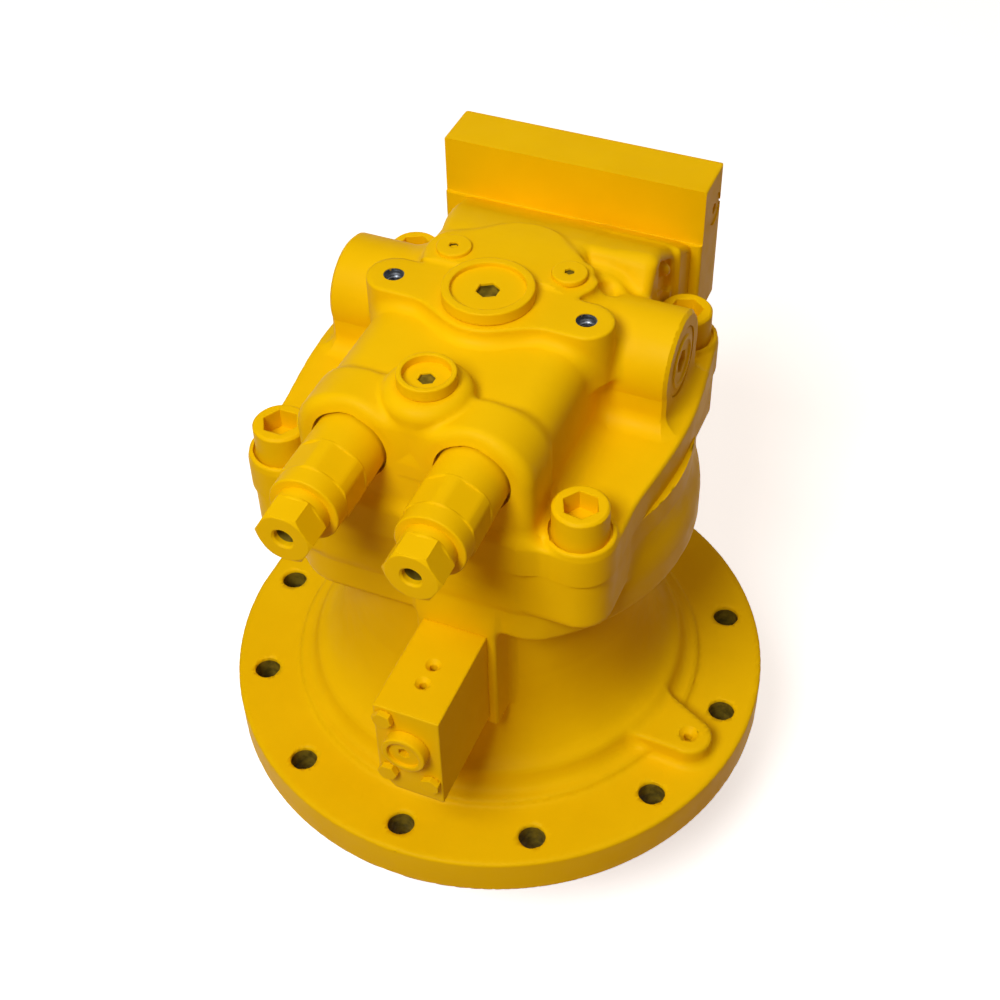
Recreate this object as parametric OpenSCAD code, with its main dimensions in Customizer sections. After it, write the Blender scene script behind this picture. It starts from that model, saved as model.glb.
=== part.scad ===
// Swing motor: a fixed displacement axial piston motor with a parking brake.
// Millimetres. Origin on the shaft axis in the mounting face of the flange,
// +Z up along the shaft, -Y towards the relief valves, +Y towards the ports.

/* [Mounting flange] */
// Outside diameter of the mounting flange
flange_d = 330; // [322:1:345]
// Thickness of the flange
flange_t = 26; // [22:1:28]
// Distance of the flange bolt hole centres from the rim
flange_edge = 18; // [16:0.5:20]
// Diameter of a flange bolt hole
flange_hole_d = 15.5; // [13:0.5:17.5]
// Number of flange bolt holes
flange_holes = 12; // [10:1:12]
// Diameter of the pilot spigot under the flange
spigot_d = 210; // [190:1:230]
// Depth of the pilot spigot below the flange face
spigot_h = 12; // [10:0.5:15]
// Height of the drain ear above the mounting face
ear_z = 40; // [36:0.5:44]

/* [Casing] */
// Height of the joint face between casing and cover
part_z = 216; // [210:1:222]
// Outside radius of the lower casing body
body_r = 92; // [90:0.5:95]
// Outside radius of the side bulges under the cover
bulge_r = 114.5; // [112:0.5:117]
// Height of the lower edge of the side bulges
bulge_z = 158; // [152:1:164]
// Height of the underside of the bolt lugs
lug_z = 181; // [176:1:186]
// Radius of the bore that holds the brake plates
plate_bore_r = 82; // [81:0.25:83]
// Radius of the large bore that holds the brake piston head
head_bore_r = 89; // [88:0.25:90]

/* [Cover] */
// Thickness of the cover's base plate
cover_t = 18; // [15:1:20]
// Half spacing of the cover bolts, both ways
bolt_x = 83; // [81:0.5:85]
// Radius of a bolt lug
lug_r = 18; // [17:0.5:20]
// Radius of the cover's round sides
cover_r = 111; // [109:0.5:112]
// Height of the machined pad on top of the cover
pad_z = 299; // [297:1:303]
// Half spacing of the tapped lifting holes in the pad
lift_x = 54; // [52:0.5:56]
// Radius of a tapped lifting hole, M12 minor radius
lift_r = 5.1; // [4.2:0.1:6]
// Height of the relief valve axes
valve_z = 271; // [269:0.5:273]
// Half spacing of the relief valves
valve_x = 33; // [31:0.5:35]
// Distance of the front face of the cover from the shaft axis
front_y = 99; // [98:0.5:101]
// Height of the side check valve axes
check_z = 262; // [260:0.5:264]
// Distance of the check valve axes behind the shaft axis
check_y = 30; // [28:0.5:32]
// Distance of the side boss faces from the shaft axis
check_x = 97.5; // [96:0.5:100]

/* [Port block] */
// Width of the port block
port_w = 155; // [150:1:160]
// Thickness of the port block
port_t = 35; // [32:1:38]
// Height of the top of the port block
port_top = 306; // [302:1:310]
// Height of the bottom of the port block
port_bottom = 215; // [212:1:218]
// Distance of the joint face of the port block behind the shaft axis
port_y = 119; // [117:0.5:121]
// Half spacing of the two main ports
port_x = 38; // [36:0.5:40]
// Radius of a main port
port_r = 12.5; // [11:0.5:13.5]
// Height of the main port axes
port_z = 252; // [250:0.5:253]
// Side to side hole spacing of a main port flange
port_sx = 26.2; // [25:0.1:27]
// Up and down hole spacing of a main port flange
port_sz = 52.4; // [50:0.2:54]

/* [Relief valves] */
// Radius of the round part of a valve sleeve
sleeve_r = 19; // [18:0.25:19.5]
// Length of a valve sleeve outside the cover
sleeve_l = 50; // [46:1:54]
// Width across flats of the sleeve hexagon
sleeve_af = 36; // [34:0.5:37]
// Width across flats of the adjuster cap
cap_af = 27; // [26:0.5:28]
// Length of the adjuster cap outside the sleeve
cap_l = 21; // [18:0.5:24]

/* [Brake valve] */
// Width of the brake valve block
brake_w = 37; // [35:0.5:39]
// Height of the brake valve block
brake_h = 67; // [65:0.5:69]
// Length of the brake valve block from its joint face
brake_l = 63; // [60:1:64]
// Sideways place of the brake valve block
brake_x = 20; // [17:0.5:21]
// Height of the top of the brake valve block
brake_z = 158; // [156:0.5:160]
// Distance of its joint face in front of the shaft axis
brake_y = 102; // [100:0.5:104]

/* [Rotating group] */
// Pitch radius of the cylinder bores in the block
bore_pitch_r = 47; // [46:0.25:48]
// Diameter of a cylinder bore
bore_d = 25; // [24:0.25:25.5]
// Tilt of the swash plate in degrees
tilt = 13; // [11:0.5:13.5]
// Outside radius of the cylinder block
block_r = 66; // [65:0.25:66.5]
// Height of the swash centre above the mounting face
swash_z = 88; // [86:0.5:90]
// Height of the lower end of the cylinder block
block_z0 = 112; // [110:0.5:114]
// Gap between a piston and its bore, which takes up the simplified motion
piston_gap = 0.75; // [0.7:0.05:1.2]
// Radius of a piston ball
ball_r = 8; // [7.5:0.1:8.5]
// Radius of the slipper foot
foot_r = 14; // [13:0.25:14.5]

/* [Shaft and bearings] */
// Radius of the shaft at its seal and lower bearing
shaft_r = 25; // [23:0.25:26]
// Length of the shaft below the mounting face
shaft_out = 92; // [80:1:100]
// Tip radius of the output spline
spline_r = 24; // [22:0.25:24.5]
// Number of output spline teeth
spline_n = 14; // [12:1:16]
// Outside radius of the lower bearing
bearing_r = 55; // [53:0.5:56]
// Height of the lower bearing
bearing_h = 30; // [26:1:32]
// Radius of the upper journal of the shaft
journal_r = 17.5; // [16:0.25:18]

/* [Brake] */
// Number of friction plates
friction_n = 4; // [3:1:4]
// Thickness of a friction plate
friction_t = 3; // [2.6:0.1:3.2]
// Thickness of a separator plate
separator_t = 2.5; // [2.2:0.1:2.8]
// Lift of the brake piston when the brake is released
brake_lift = 2.5; // [1.5:0.1:3]
// Number of brake springs
spring_n = 8; // [6:1:8]

/* [Hidden] */

PAINT = "#F2BE0C";
STEEL = "#9DA1A4";
BRONZE = "#B08A4A";
RUBBER = "#1E1E1E";
LINING = "#4A3E33";

// Small clearances, one for each kind of fit
fit_c = 0.03;
slide_c = 0.05;
ball_c = 0.3;
far = 400;

flange_pcd = flange_d - 2 * flange_edge;

// Cover bolts, M16 socket head cap screws
bolt_r = 8;
bolt_head_r = 12;
bolt_head_h = 16;
bolt_seat_h = 3;
bolt_hex_af = 14;
bolt_grip = 28;
seat_z = part_z + cover_t;

// Casing bore heights
seal_z = -spigot_h + 4;
seal_h = 10;
seal_r = 37.5;
bearing_z = 14;
cavity_z = bearing_z + bearing_h + 2;
cavity_r = 75;
plates_z = 118;
head_z = part_z - 40;

// Valve plate and block
plate_t = 8;
block_top = part_z - plate_t;
shoe_drop = 11;
ring_r = 2 * bore_pitch_r / (1 + cos(tilt));
kidney_h = 22;
bore_top = block_top - kidney_h - 4;
piston_r = bore_d / 2 - piston_gap;
piston_n = 9;
neck_h = 12;
stroke = 2 * bore_pitch_r * tan(tilt);
piston_top = bore_top - 5;
piston_len = piston_top - (swash_z + stroke / 2 + neck_h);

// Brake stack
plate_gap = 0.15;
stack_pitch = friction_t + separator_t + 2 * plate_gap;
stack_top = plates_z + friction_n * stack_pitch + separator_t;
press_z = stack_top + plate_gap;
piston_head_z = head_z + 2;
head_room = 7.5;
piston_head_top = part_z - brake_lift - head_room;

module hexagon(af, h) {
    cylinder(r = af / 2 / cos(30), h = h, $fn = 6);
}

// A tube swept along a helix about Z, with flat ground ends left plain
module coil(mean_r, wire_r, height, turns) {
    per_turn = 10;
    sides = 5;
    n = turns * per_turn;
    rise = height - 2 * wire_r;
    pts = [for (i = [0:n]) for (j = [0:sides - 1])
        let (a = 360 * i / per_turn, b = 360 * j / sides, r = mean_r + wire_r * cos(b))
        [r * cos(a), r * sin(a), wire_r + rise * i / n + wire_r * sin(b)]];
    walls = [for (i = [0:n - 1]) for (j = [0:sides - 1]) for (t = [0, 1])
        let (p = i * sides + j, q = i * sides + (j + 1) % sides)
        t == 0 ? [p, p + sides, q + sides] : [p, q + sides, q]];
    low = [for (j = [0:sides - 1]) j];
    high = [for (j = [sides - 1:-1:0]) n * sides + j];
    polyhedron(points = pts, faces = concat(walls, [low, high]), convexity = 4);
}

// Everything that repeats left and right of the shaft axis
module both_sides() {
    children();
    mirror([1, 0, 0]) children();
}

module at_corners() {
    for (sx = [-1, 1], sy = [-1, 1])
        translate([sx * bolt_x, sy * bolt_x]) children();
}

// Plan outline shared by the cover and the top of the casing
module outline(grow = 0) {
    blend = 12;
    offset(r = -blend, $fn = 40) offset(delta = blend)
        union() {
            intersection() {
                circle(r = cover_r + grow, $fn = 90);
                square([far, 2 * (front_y + grow)], center = true);
            }
            offset(r = lug_r + grow, $fn = 48)
                square([2 * bolt_x, 2 * bolt_x], center = true);
        }
}

// Socket head cap screw, head up, seat at z = 0
module cap_screw(r, head_r, head_h, af, length) {
    difference() {
        union() {
            cylinder(r = head_r, h = head_h - 1, $fn = 48);
            translate([0, 0, head_h - 1])
                cylinder(r1 = head_r, r2 = head_r - 1, h = 1, $fn = 48);
            translate([0, 0, -length]) cylinder(r = r, h = length, $fn = 32);
        }
        translate([0, 0, head_h - r]) hexagon(af, r + 1);
    }
}

// Flanged plug with a recessed face and a hexagon socket, seat at z = 0
module round_plug(head_r, head_h, rim, thread_r, thread_l, af) {
    recess = 2;
    difference() {
        union() {
            cylinder(r = head_r, h = head_h, $fn = 64);
            translate([0, 0, -thread_l]) cylinder(r = thread_r, h = thread_l, $fn = 48);
        }
        translate([0, 0, head_h - recess]) cylinder(r = head_r - rim, h = recess + 1, $fn = 64);
        translate([0, 0, head_h - recess - af * 0.7]) hexagon(af, af * 0.7 + 1);
    }
}

// Plug that sinks into a counterbore, top face at z = 0
module sunk_plug(head_r, depth, thread_r, thread_l, af) {
    difference() {
        union() {
            translate([0, 0, -depth]) cylinder(r = head_r, h = depth, $fn = 64);
            translate([0, 0, -depth - thread_l]) cylinder(r = thread_r, h = thread_l + 1, $fn = 48);
        }
        translate([0, 0, -af * 0.6]) hexagon(af, af);
    }
}

// Casing: flange, hub, round body, side bulges and the lugs under the cover

// The hub falls in steps over the inner half of the flange
hub_w = flange_d / 2 - body_r;
rim_c = 2;
hub_profile = [[0, 0], [flange_d / 2 - rim_c, 0], [flange_d / 2, rim_c],
    [flange_d / 2, flange_t - rim_c], [flange_d / 2 - rim_c, flange_t],
    [body_r + hub_w * 0.48, flange_t], [body_r + hub_w * 0.452, flange_t + 4],
    [body_r + hub_w * 0.356, flange_t + 6], [body_r + hub_w * 0.315, flange_t + 9],
    [body_r + hub_w * 0.274, flange_t + 16], [body_r + hub_w * 0.205, flange_t + 20],
    [body_r + hub_w * 0.13, flange_t + 28], [body_r + hub_w * 0.075, flange_t + 38],
    [body_r + hub_w * 0.034, flange_t + 52], [body_r, flange_t + 72], [body_r, lug_z + 2],
    [0, lug_z + 2]];

// Drain ear, a tongue between two of the flange holes
ear_r = 13.5;
ear_root_r = 24;
ear_at = flange_d / 2 - ear_r - 10.5;
ear_turn = -14.5;
ear_port_r = 2.6;
ear_port_l = 14;
ear_sink = 2.5;

module drain_ear() {
    rotate(ear_turn) linear_extrude(ear_z) hull() {
        translate([ear_at, 0]) circle(r = ear_r, $fn = 32);
        translate([body_r + 3, 0]) circle(r = ear_root_r, $fn = 32);
    }
}

module side_bulges() {
    lip = 14;
    slope_h = 12;
    intersection() {
        rotate_extrude($fn = 96) polygon([[0, bulge_z], [bulge_r, bulge_z],
            [bulge_r, bulge_z + lip], [cover_r - 3, bulge_z + lip + slope_h],
            [0, bulge_z + lip + slope_h]]);
        translate([-far / 2, -front_y, 0]) cube([far, 2 * front_y, far]);
    }
}

// Pad that carries the brake valve block, with a sloping roof
pad_half = brake_w / 2 + 4.5;
module brake_pad() {
    roof = brake_z + 8;
    translate([brake_x - pad_half, 0, 0]) rotate([90, 0, 90])
        linear_extrude(2 * pad_half)
            polygon([[-front_y + 30, brake_z - brake_h - 8],
                [-brake_y, brake_z - brake_h - 8], [-brake_y, roof],
                [-front_y + 1, lug_z + 3], [-front_y + 30, lug_z + 3]]);
}

module casing_void() {
    rotate_extrude($fn = 96) polygon([[0, -spigot_h - 1], [seal_r + 3, -spigot_h - 1],
        [seal_r + 3, seal_z - 1.5], [seal_r, seal_z - 1.5], [seal_r, seal_z],
        [seal_r + snap_depth, seal_z], [seal_r + snap_depth, seal_z + snap_t],
        [seal_r, seal_z + snap_t], [seal_r, seal_z + seal_h],
        [shaft_r + 6, seal_z + seal_h + 2], [shaft_r + 6, bearing_z - 2],
        [bearing_r - 8, bearing_z], [bearing_r, bearing_z], [bearing_r, cavity_z],
        [cavity_r, cavity_z], [cavity_r, plates_z], [plate_bore_r, plates_z],
        [plate_bore_r, head_z], [head_bore_r, head_z], [head_bore_r, part_z + 1],
        [0, part_z + 1]]);
}

snap_t = 2;
snap_depth = 1.5;
drill_r = 3.5;
module release_drilling() {
    from = [brake_x, -brake_y - 1, brake_z - 20];
    rise = head_z + 8 - from[2];
    run = brake_y - head_bore_r + 6;
    translate(from) rotate([-atan2(run, rise), 0, 0])
        cylinder(r = drill_r, h = norm([rise, run]) + 2, $fn = 24);
}

spline_groove_r = 5;
spline_groove_n = 4;

module motor_casing() {
    color(PAINT) difference() {
        union() {
            rotate_extrude($fn = 120) polygon(hub_profile);
            translate([0, 0, -spigot_h]) cylinder(r = spigot_d / 2, h = spigot_h + 1, $fn = 120);
            side_bulges();
            translate([0, 0, lug_z]) linear_extrude(part_z - lug_z) outline();
            brake_pad();
            drain_ear();
        }
        casing_void();
        for (k = [0:flange_holes - 1]) rotate(k * 360 / flange_holes)
            translate([flange_pcd / 2, 0, -1]) cylinder(d = flange_hole_d, h = flange_t + 2, $fn = 32);
        // O-ring groove round the pilot spigot
        translate([0, 0, -spigot_h + groove_z]) difference() {
            cylinder(r = spigot_d / 2 + 1, h = groove_w, $fn = 96);
            translate([0, 0, -1]) cylinder(r = spigot_d / 2 - groove_d, h = groove_w + 2, $fn = 96);
        }
        for (k = [0:spline_groove_n - 1]) rotate(45 + k * 90)
            translate([plate_bore_r, 0, plates_z])
                cylinder(r = spline_groove_r, h = head_z - plates_z + 1, $fn = 32);
        at_corners() translate([0, 0, part_z - bolt_grip - 4]) cylinder(r = bolt_r, h = far, $fn = 32);
        rotate(ear_turn) translate([ear_at, 0, ear_z]) {
            translate([0, 0, -ear_port_l]) cylinder(r = ear_port_r, h = ear_port_l + 1, $fn = 24);
            translate([0, 0, -ear_sink])
                cylinder(r1 = ear_port_r, r2 = ear_port_r + ear_sink + 1, h = ear_sink + 1, $fn = 24);
        }
        release_drilling();
        brake_bolt_places() rotate([90, 0, 0]) translate([0, 0, -brake_grip - 2])
            cylinder(r = brake_bolt_r, h = brake_grip + 4, $fn = 24);
        dowel_places() translate([0, 0, part_z - dowel_l / 2])
            cylinder(r = dowel_r, h = dowel_l, $fn = 24);
        // Groove for the face seal of the cover
        translate([0, 0, part_z - 2 * cover_ring_r]) difference() {
            cylinder(r = head_bore_r + cover_groove_in + cover_groove_w, h = 2 * cover_ring_r + 1, $fn = 96);
            translate([0, 0, -1])
                cylinder(r = head_bore_r + cover_groove_in, h = 2 * cover_ring_r + 3, $fn = 96);
        }
    }
}

// O-ring of the spigot, which stands a little out of its groove
groove_z = 3;
groove_w = 4;
groove_d = 3;
spigot_ring_r = 1.6;
module spigot_seal() {
    color(RUBBER) translate([0, 0, -spigot_h + groove_z + groove_w / 2])
        rotate_extrude($fn = 96)
            translate([spigot_d / 2 - groove_d + spigot_ring_r, 0]) circle(r = spigot_ring_r, $fn = 24);
}

// Face seal between casing and cover
cover_ring_r = 1;
cover_groove_in = 3;
cover_groove_w = 3;
module cover_seal() {
    color(RUBBER) translate([0, 0, part_z - cover_ring_r - 0.01])
        rotate_extrude($fn = 96)
            translate([head_bore_r + cover_groove_in + cover_groove_w / 2, 0]) circle(r = cover_ring_r, $fn = 24);
}

dowel_r = 4;
dowel_l = 16;
module dowel_places() {
    for (s = [-1, 1]) rotate(s * 8) translate([s * (head_bore_r + 13), 0]) children();
}

module dowel_pins() {
    color(STEEL) dowel_places() translate([0, 0, part_z - dowel_l / 2 + 0.1])
        cylinder(r = dowel_r, h = dowel_l - 0.2, $fn = 24);
}

// Valve casing: base plate, valve mass with two humps, pad, side bosses, rear neck

hump_r = 28;
hump_l = 26;
shoulder_r = 18;
mass_back = 58;
mass_x = 61;
mass_top = pad_z - 11;
centre_head_r = 23;
centre_thread_r = 20;
centre_thread_l = 15;
gauge_x = 33;
gauge_y = 31;
gauge_head_r = 9.6;
gauge_thread_r = 6.5;
gauge_l = 12;
gauge_drill_r = 2;
front_plug_y = 76;
front_plug_z = pad_z + 1;
front_plug_r = 13;
front_thread_r = 10;
front_thread_l = 14;
plug_head_h = 6;
lift_l = 24;
lobe_r = 14.5;
boss_r = 26;
neck_x = 71;
neck_corner = 9;
passage_r = 11;
gallery_r = 7;
feed_r = 6;
makeup_r = 8;
seat_l = 3;

module valve_mass() {
    face = front_y - 1;
    // A hump over each valve at the front
    translate([0, -face + hump_l, 0]) rotate([90, 0, 0]) linear_extrude(hump_l)
        both_sides() translate([valve_x, valve_z]) circle(r = hump_r, $fn = 64);
    // Body with round shoulders, drawn out along Y
    translate([0, mass_back, 0]) rotate([90, 0, 0]) linear_extrude(face + mass_back) {
        both_sides() translate([mass_x - shoulder_r, mass_top - shoulder_r]) circle(r = shoulder_r, $fn = 64);
        translate([-mass_x, part_z + 2]) square([2 * mass_x, mass_top - shoulder_r - part_z - 2]);
        translate([shoulder_r - mass_x, part_z + 3])
            square([2 * (mass_x - shoulder_r), mass_top - part_z - 3]);
    }
}

module top_pad() {
    translate([0, 0, mass_top - 20]) linear_extrude(pad_z - mass_top + 20)
        offset(r = -10, $fn = 40) offset(delta = 10) union() {
            hull() both_sides() translate([lift_x, 0]) circle(r = lobe_r, $fn = 48);
            circle(r = centre_head_r + 4, $fn = 64);
            translate([0, 30]) circle(r = 46, $fn = 64);
        }
}

module front_boss() {
    translate([0, -front_plug_y, mass_top - 6])
        cylinder(r1 = 28, r2 = 19, h = front_plug_z - mass_top + 6, $fn = 64);
}

module side_boss() {
    translate([0, check_y, check_z]) rotate([0, 90, 0])
        cylinder(r = boss_r, h = check_x, $fn = 64);
    translate([0, check_y - boss_r + 5, part_z + 2])
        cube([check_x - 2, 2 * boss_r - 10, check_z - part_z - 2]);
}

module neck() {
    // Side view: level behind the pad, then falling to the port face
    intersection() {
        rotate([90, 0, 90]) translate([0, 0, -neck_x]) linear_extrude(2 * neck_x)
            polygon([[20, part_z + 2], [20, pad_z - 1], [58, pad_z - 1],
                [port_y - 16, pad_z - 22], [port_y, pad_z - 28], [port_y, part_z + 4],
                [port_y - 18, part_z + 2]]);
        linear_extrude(far) polygon([[-46, 20], [46, 20], [50, 50], [60, 70],
            [neck_x, port_y - 28], [neck_x, port_y], [-neck_x, port_y],
            [-neck_x, port_y - 28], [-60, 70], [-50, 50]]);
        rotate([90, 0, 0]) translate([0, 0, -port_y]) linear_extrude(port_y)
            offset(r = neck_corner, $fn = 40) offset(delta = -neck_corner)
                translate([-neck_x, part_z - 20]) square([2 * neck_x, pad_z - part_z + 20]);
    }
}

module valve_bore(side) {
    translate([side * valve_x, -front_y - 1, valve_z]) rotate([-90, 0, 0]) {
        cylinder(r = sleeve_r + 1.5, h = seat_l + 1, $fn = 48);
        cylinder(r = nose_r, h = nose_l + 6, $fn = 48);
        cylinder(r = guide_r, h = front_y + feed_r + 2, $fn = 48);
    }
}

module check_bore(side) {
    translate([side * (check_x + 1), check_y, check_z]) rotate([0, -side * 90, 0]) {
        cylinder(r = check_head_r + 0.5, h = check_sink + 1, $fn = 48);
        cylinder(r = check_thread_r, h = check_sink + check_thread_l + 2, $fn = 48);
        cylinder(r = check_guide_r, h = check_x + 1 - check_seat_x, $fn = 48);
        cylinder(r = gallery_r, h = check_x + 2, $fn = 48);
    }
}

kidney_half = 6;
kidney_span = 62;
// Two curved slots at the pitch radius of the cylinder bores
module kidneys(z, h) {
    for (mid = [0, 180]) translate([0, 0, z]) rotate(mid - kidney_span) {
        rotate_extrude(angle = 2 * kidney_span, $fn = 96)
            translate([bore_pitch_r - kidney_half, 0]) square([2 * kidney_half, h]);
        for (a = [0, 2 * kidney_span]) rotate(a) translate([bore_pitch_r, 0, -0.2]) rotate(45)
            cylinder(r = kidney_half - 0.3, h = h + 0.4, $fn = 32);
    }
}

module valve_casing() {
    color(PAINT) difference() {
        union() {
            translate([0, 0, part_z]) linear_extrude(cover_t) outline();
            valve_mass();
            top_pad();
            front_boss();
            both_sides() side_boss();
            neck();
            at_corners() translate([0, 0, seat_z]) cylinder(r = bolt_head_r + 0.6, h = bolt_seat_h, $fn = 48);
        }
        at_corners() translate([0, 0, part_z - 1])
            cylinder(r = bolt_r + 0.75, h = cover_t + bolt_seat_h + 2, $fn = 32);
        for (s = [-1, 1]) {
            valve_bore(s);
            check_bore(s);
            translate([s * port_x, port_y + 1, port_z]) rotate([90, 0, 0])
                cylinder(r = passage_r, h = port_y - 4, $fn = 48);
            // Feed from the main passage up to the relief valve
            translate([s * valve_x, 0, port_z]) cylinder(r = feed_r, h = valve_z - port_z, $fn = 32);
            translate([s * valve_x, 6, port_z]) rotate([90, 0, 0]) cylinder(r = feed_r, h = 6, $fn = 32);
            translate([s * lift_x, 0, pad_z - lift_l]) cylinder(r = lift_r, h = lift_l + 1, $fn = 32);
            translate([s * gauge_x, gauge_y, pad_z - gauge_l - 4])
                cylinder(r = gauge_thread_r, h = gauge_l + 5, $fn = 32);
            translate([s * gauge_x, gauge_y, port_z + 4])
                cylinder(r = gauge_drill_r, h = pad_z - gauge_l - port_z - 6, $fn = 24);
        }
        translate([0, port_y + 1, port_z]) rotate([90, 0, 0])
            cylinder(r = gallery_r, h = port_y + 1 - check_y + gallery_r, $fn = 48);
        kidneys(part_z - 1, port_z - part_z - 1);
        translate([0, 0, part_z - 1]) cylinder(r = upper_bearing_r, h = upper_bearing_h + 2, $fn = 64);
        translate([0, 0, pad_z - 2 * centre_thread_l]) cylinder(r = centre_thread_r, h = far, $fn = 64);
        translate([0, -front_plug_y, front_plug_z - front_thread_l - 8])
            cylinder(r = front_thread_r, h = far, $fn = 32);
        dowel_places() translate([0, 0, part_z - 1]) cylinder(r = dowel_r, h = dowel_l / 2 + 1, $fn = 24);
        port_bolt_places() translate([0, 1, 0]) rotate([90, 0, 0])
            cylinder(r = port_bolt_r, h = port_grip + 4, $fn = 24);
    }
}

module cover_bolts() {
    color(PAINT) at_corners() translate([0, 0, seat_z + bolt_seat_h])
        cap_screw(bolt_r, bolt_head_r, bolt_head_h, bolt_hex_af, cover_t + bolt_seat_h + bolt_grip);
}

// Port block on the rear face

port_bolt_r = 5;
port_bolt_head_r = 8;
port_bolt_af = 8;
port_bolt_x = port_w / 2 - 13.5;
port_sink = 12;
port_grip = 14;
module port_bolt_places() {
    for (x = [-port_bolt_x, port_bolt_x], z = [-24, 6]) translate([x, port_y, port_z + z]) children();
}

end_port_z = 284;
end_port_y = 24;
end_port_r = 7;
end_port_l = 20;
seal_groove = 1.8;
module port_block() {
    step = 2.5;
    ledge_z = port_top - 35;
    makeup_l = 16;
    tap_l = 17;
    color(PAINT) difference() {
        union() {
            translate([-port_w / 2, port_y + step, port_bottom])
                cube([port_w, port_t - step, port_top - port_bottom]);
            translate([-port_w / 2, port_y, port_bottom])
                cube([port_w, port_t, ledge_z - port_bottom]);
        }
        for (s = [-1, 1]) {
            translate([s * port_x, port_y - 1, port_z]) rotate([-90, 0, 0])
                cylinder(r = port_r, h = port_t + 2, $fn = 48);
            for (dx = [-1, 1], dz = [-1, 1])
                translate([s * port_x + dx * port_sx / 2, port_y + port_t - tap_l,
                    port_z + dz * port_sz / 2]) rotate([-90, 0, 0])
                        cylinder(r = port_tap_r, h = tap_l + 1, $fn = 24);
            translate([s * (port_w / 2 + 1), port_y + end_port_y, end_port_z])
                rotate([0, -s * 90, 0]) {
                    cylinder(r = end_port_r + 2.5, h = 3.5, $fn = 32);
                    cylinder(r = end_port_r, h = end_port_l + 1, $fn = 32);
                }
            // Seal groove round each main passage on the joint face
            translate([s * port_x, port_y - 1, port_z]) rotate([-90, 0, 0])
                cylinder(r = port_r + 4, h = seal_groove + 1, $fn = 48);
        }
        // Make-up port between the main ports
        translate([0, port_y - 1, port_z]) rotate([-90, 0, 0])
            cylinder(r = gallery_r, h = port_t + 2, $fn = 48);
        translate([0, port_y + port_t + 1, port_z]) rotate([90, 0, 0])
            cylinder(r = makeup_r, h = makeup_l + 1, $fn = 48);
        port_bolt_places() rotate([-90, 0, 0]) {
            translate([0, 0, -1]) cylinder(r = port_bolt_r + 0.5, h = port_t + 2, $fn = 24);
            translate([0, 0, port_t - port_sink])
                cylinder(r = port_bolt_head_r + 0.7, h = port_sink + 1, $fn = 32);
        }
    }
}

// M10 tapped holes for the hose flanges
port_tap_r = 4.25;

module port_block_bolts() {
    color(PAINT) port_bolt_places() translate([0, port_t - port_sink, 0]) rotate([-90, 0, 0])
        cap_screw(port_bolt_r, port_bolt_head_r, 2 * port_bolt_r, port_bolt_af, port_t - port_sink + port_grip);
}

module port_block_plugs() {
    color(PAINT) for (s = [-1, 1])
        translate([s * (port_w / 2 - 1), port_y + end_port_y, end_port_z])
            rotate([0, s * 90, 0]) sunk_plug(end_port_r + 2.3, 1.5, end_port_r, end_port_l - 8, 6);
}

module port_block_seals() {
    color(RUBBER) for (s = [-1, 1])
        translate([s * port_x, port_y + seal_groove / 2, port_z]) rotate([90, 0, 0])
            rotate_extrude($fn = 64) translate([port_r + 2.2, 0]) circle(r = seal_groove / 2 - 0.02, $fn = 24);
}

// Relief valves, drawn along +Z and laid along -Y

nose_r = 15;
nose_l = 40;
collar_l = 9;
hex_l = 18;

module valve_place(side) {
    translate([side * valve_x, -front_y, valve_z]) rotate([90, 0, 0]) children();
}

module relief_sleeve(side) {
    round_l = sleeve_l - hex_l - collar_l;
    color(PAINT) valve_place(side) difference() {
        union() {
            translate([0, 0, -nose_l]) cylinder(r = nose_r - fit_c, h = nose_l + 1, $fn = 48);
            translate([0, 0, 0.1 - seat_l]) cylinder(r = sleeve_r, h = round_l + seat_l - 0.1, $fn = 64);
            translate([0, 0, round_l - 1]) intersection() {
                hexagon(sleeve_af, hex_l + 2);
                cylinder(r = sleeve_r + 0.8, h = hex_l + 2, $fn = 64);
            }
            translate([0, 0, round_l + hex_l]) cylinder(r = sleeve_r - 1, h = collar_l, $fn = 64);
        }
        // Spring chamber, poppet guide and the seat at the nose
        translate([0, 0, -nose_l + 8]) cylinder(r = guide_r, h = far, $fn = 48);
        translate([0, 0, -nose_l - 1]) cylinder(r = 5, h = 12, $fn = 32);
        translate([0, 0, sleeve_l - cap_thread_l]) cylinder(r = cap_thread_r, h = cap_thread_l + 1, $fn = 48);
        for (a = [0:90:270]) rotate([0, 0, a]) translate([0, 0, -nose_l + 14]) rotate([0, 90, 0])
            cylinder(r = 2.5, h = nose_r + 1, $fn = 24);
    }
}

guide_r = 9;
cap_thread_r = 12;
cap_thread_l = 12;
cap_mouth_r = 5;
poppet_z = -nose_l + 8.2;
poppet_cone_h = 3;
poppet_guide_h = 12;
relief_wire_r = 1.4;

module relief_cap(side) {
    neck_l = 6;
    color(PAINT) valve_place(side) translate([0, 0, sleeve_l]) difference() {
        union() {
            translate([0, 0, 0.2 - cap_thread_l]) cylinder(r = cap_thread_r - fit_c, h = cap_thread_l, $fn = 48);
            cylinder(r = cap_af / 2 + 0.5, h = neck_l, $fn = 64);
            translate([0, 0, neck_l - 0.5]) intersection() {
                hexagon(cap_af, cap_l - neck_l + 0.5);
                union() {
                    cylinder(r = cap_af, h = cap_l - neck_l - 1, $fn = 48);
                    cylinder(r1 = cap_af / 2 + 8, r2 = cap_af / 2 + 0.4, h = cap_l - neck_l + 0.5, $fn = 48);
                }
            }
        }
        translate([0, 0, cap_l - 11]) cylinder(r = cap_mouth_r, h = 12, $fn = 32);
        translate([0, 0, cap_l - 12]) hexagon(cap_mouth_r + 1, 4);
    }
}

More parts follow.
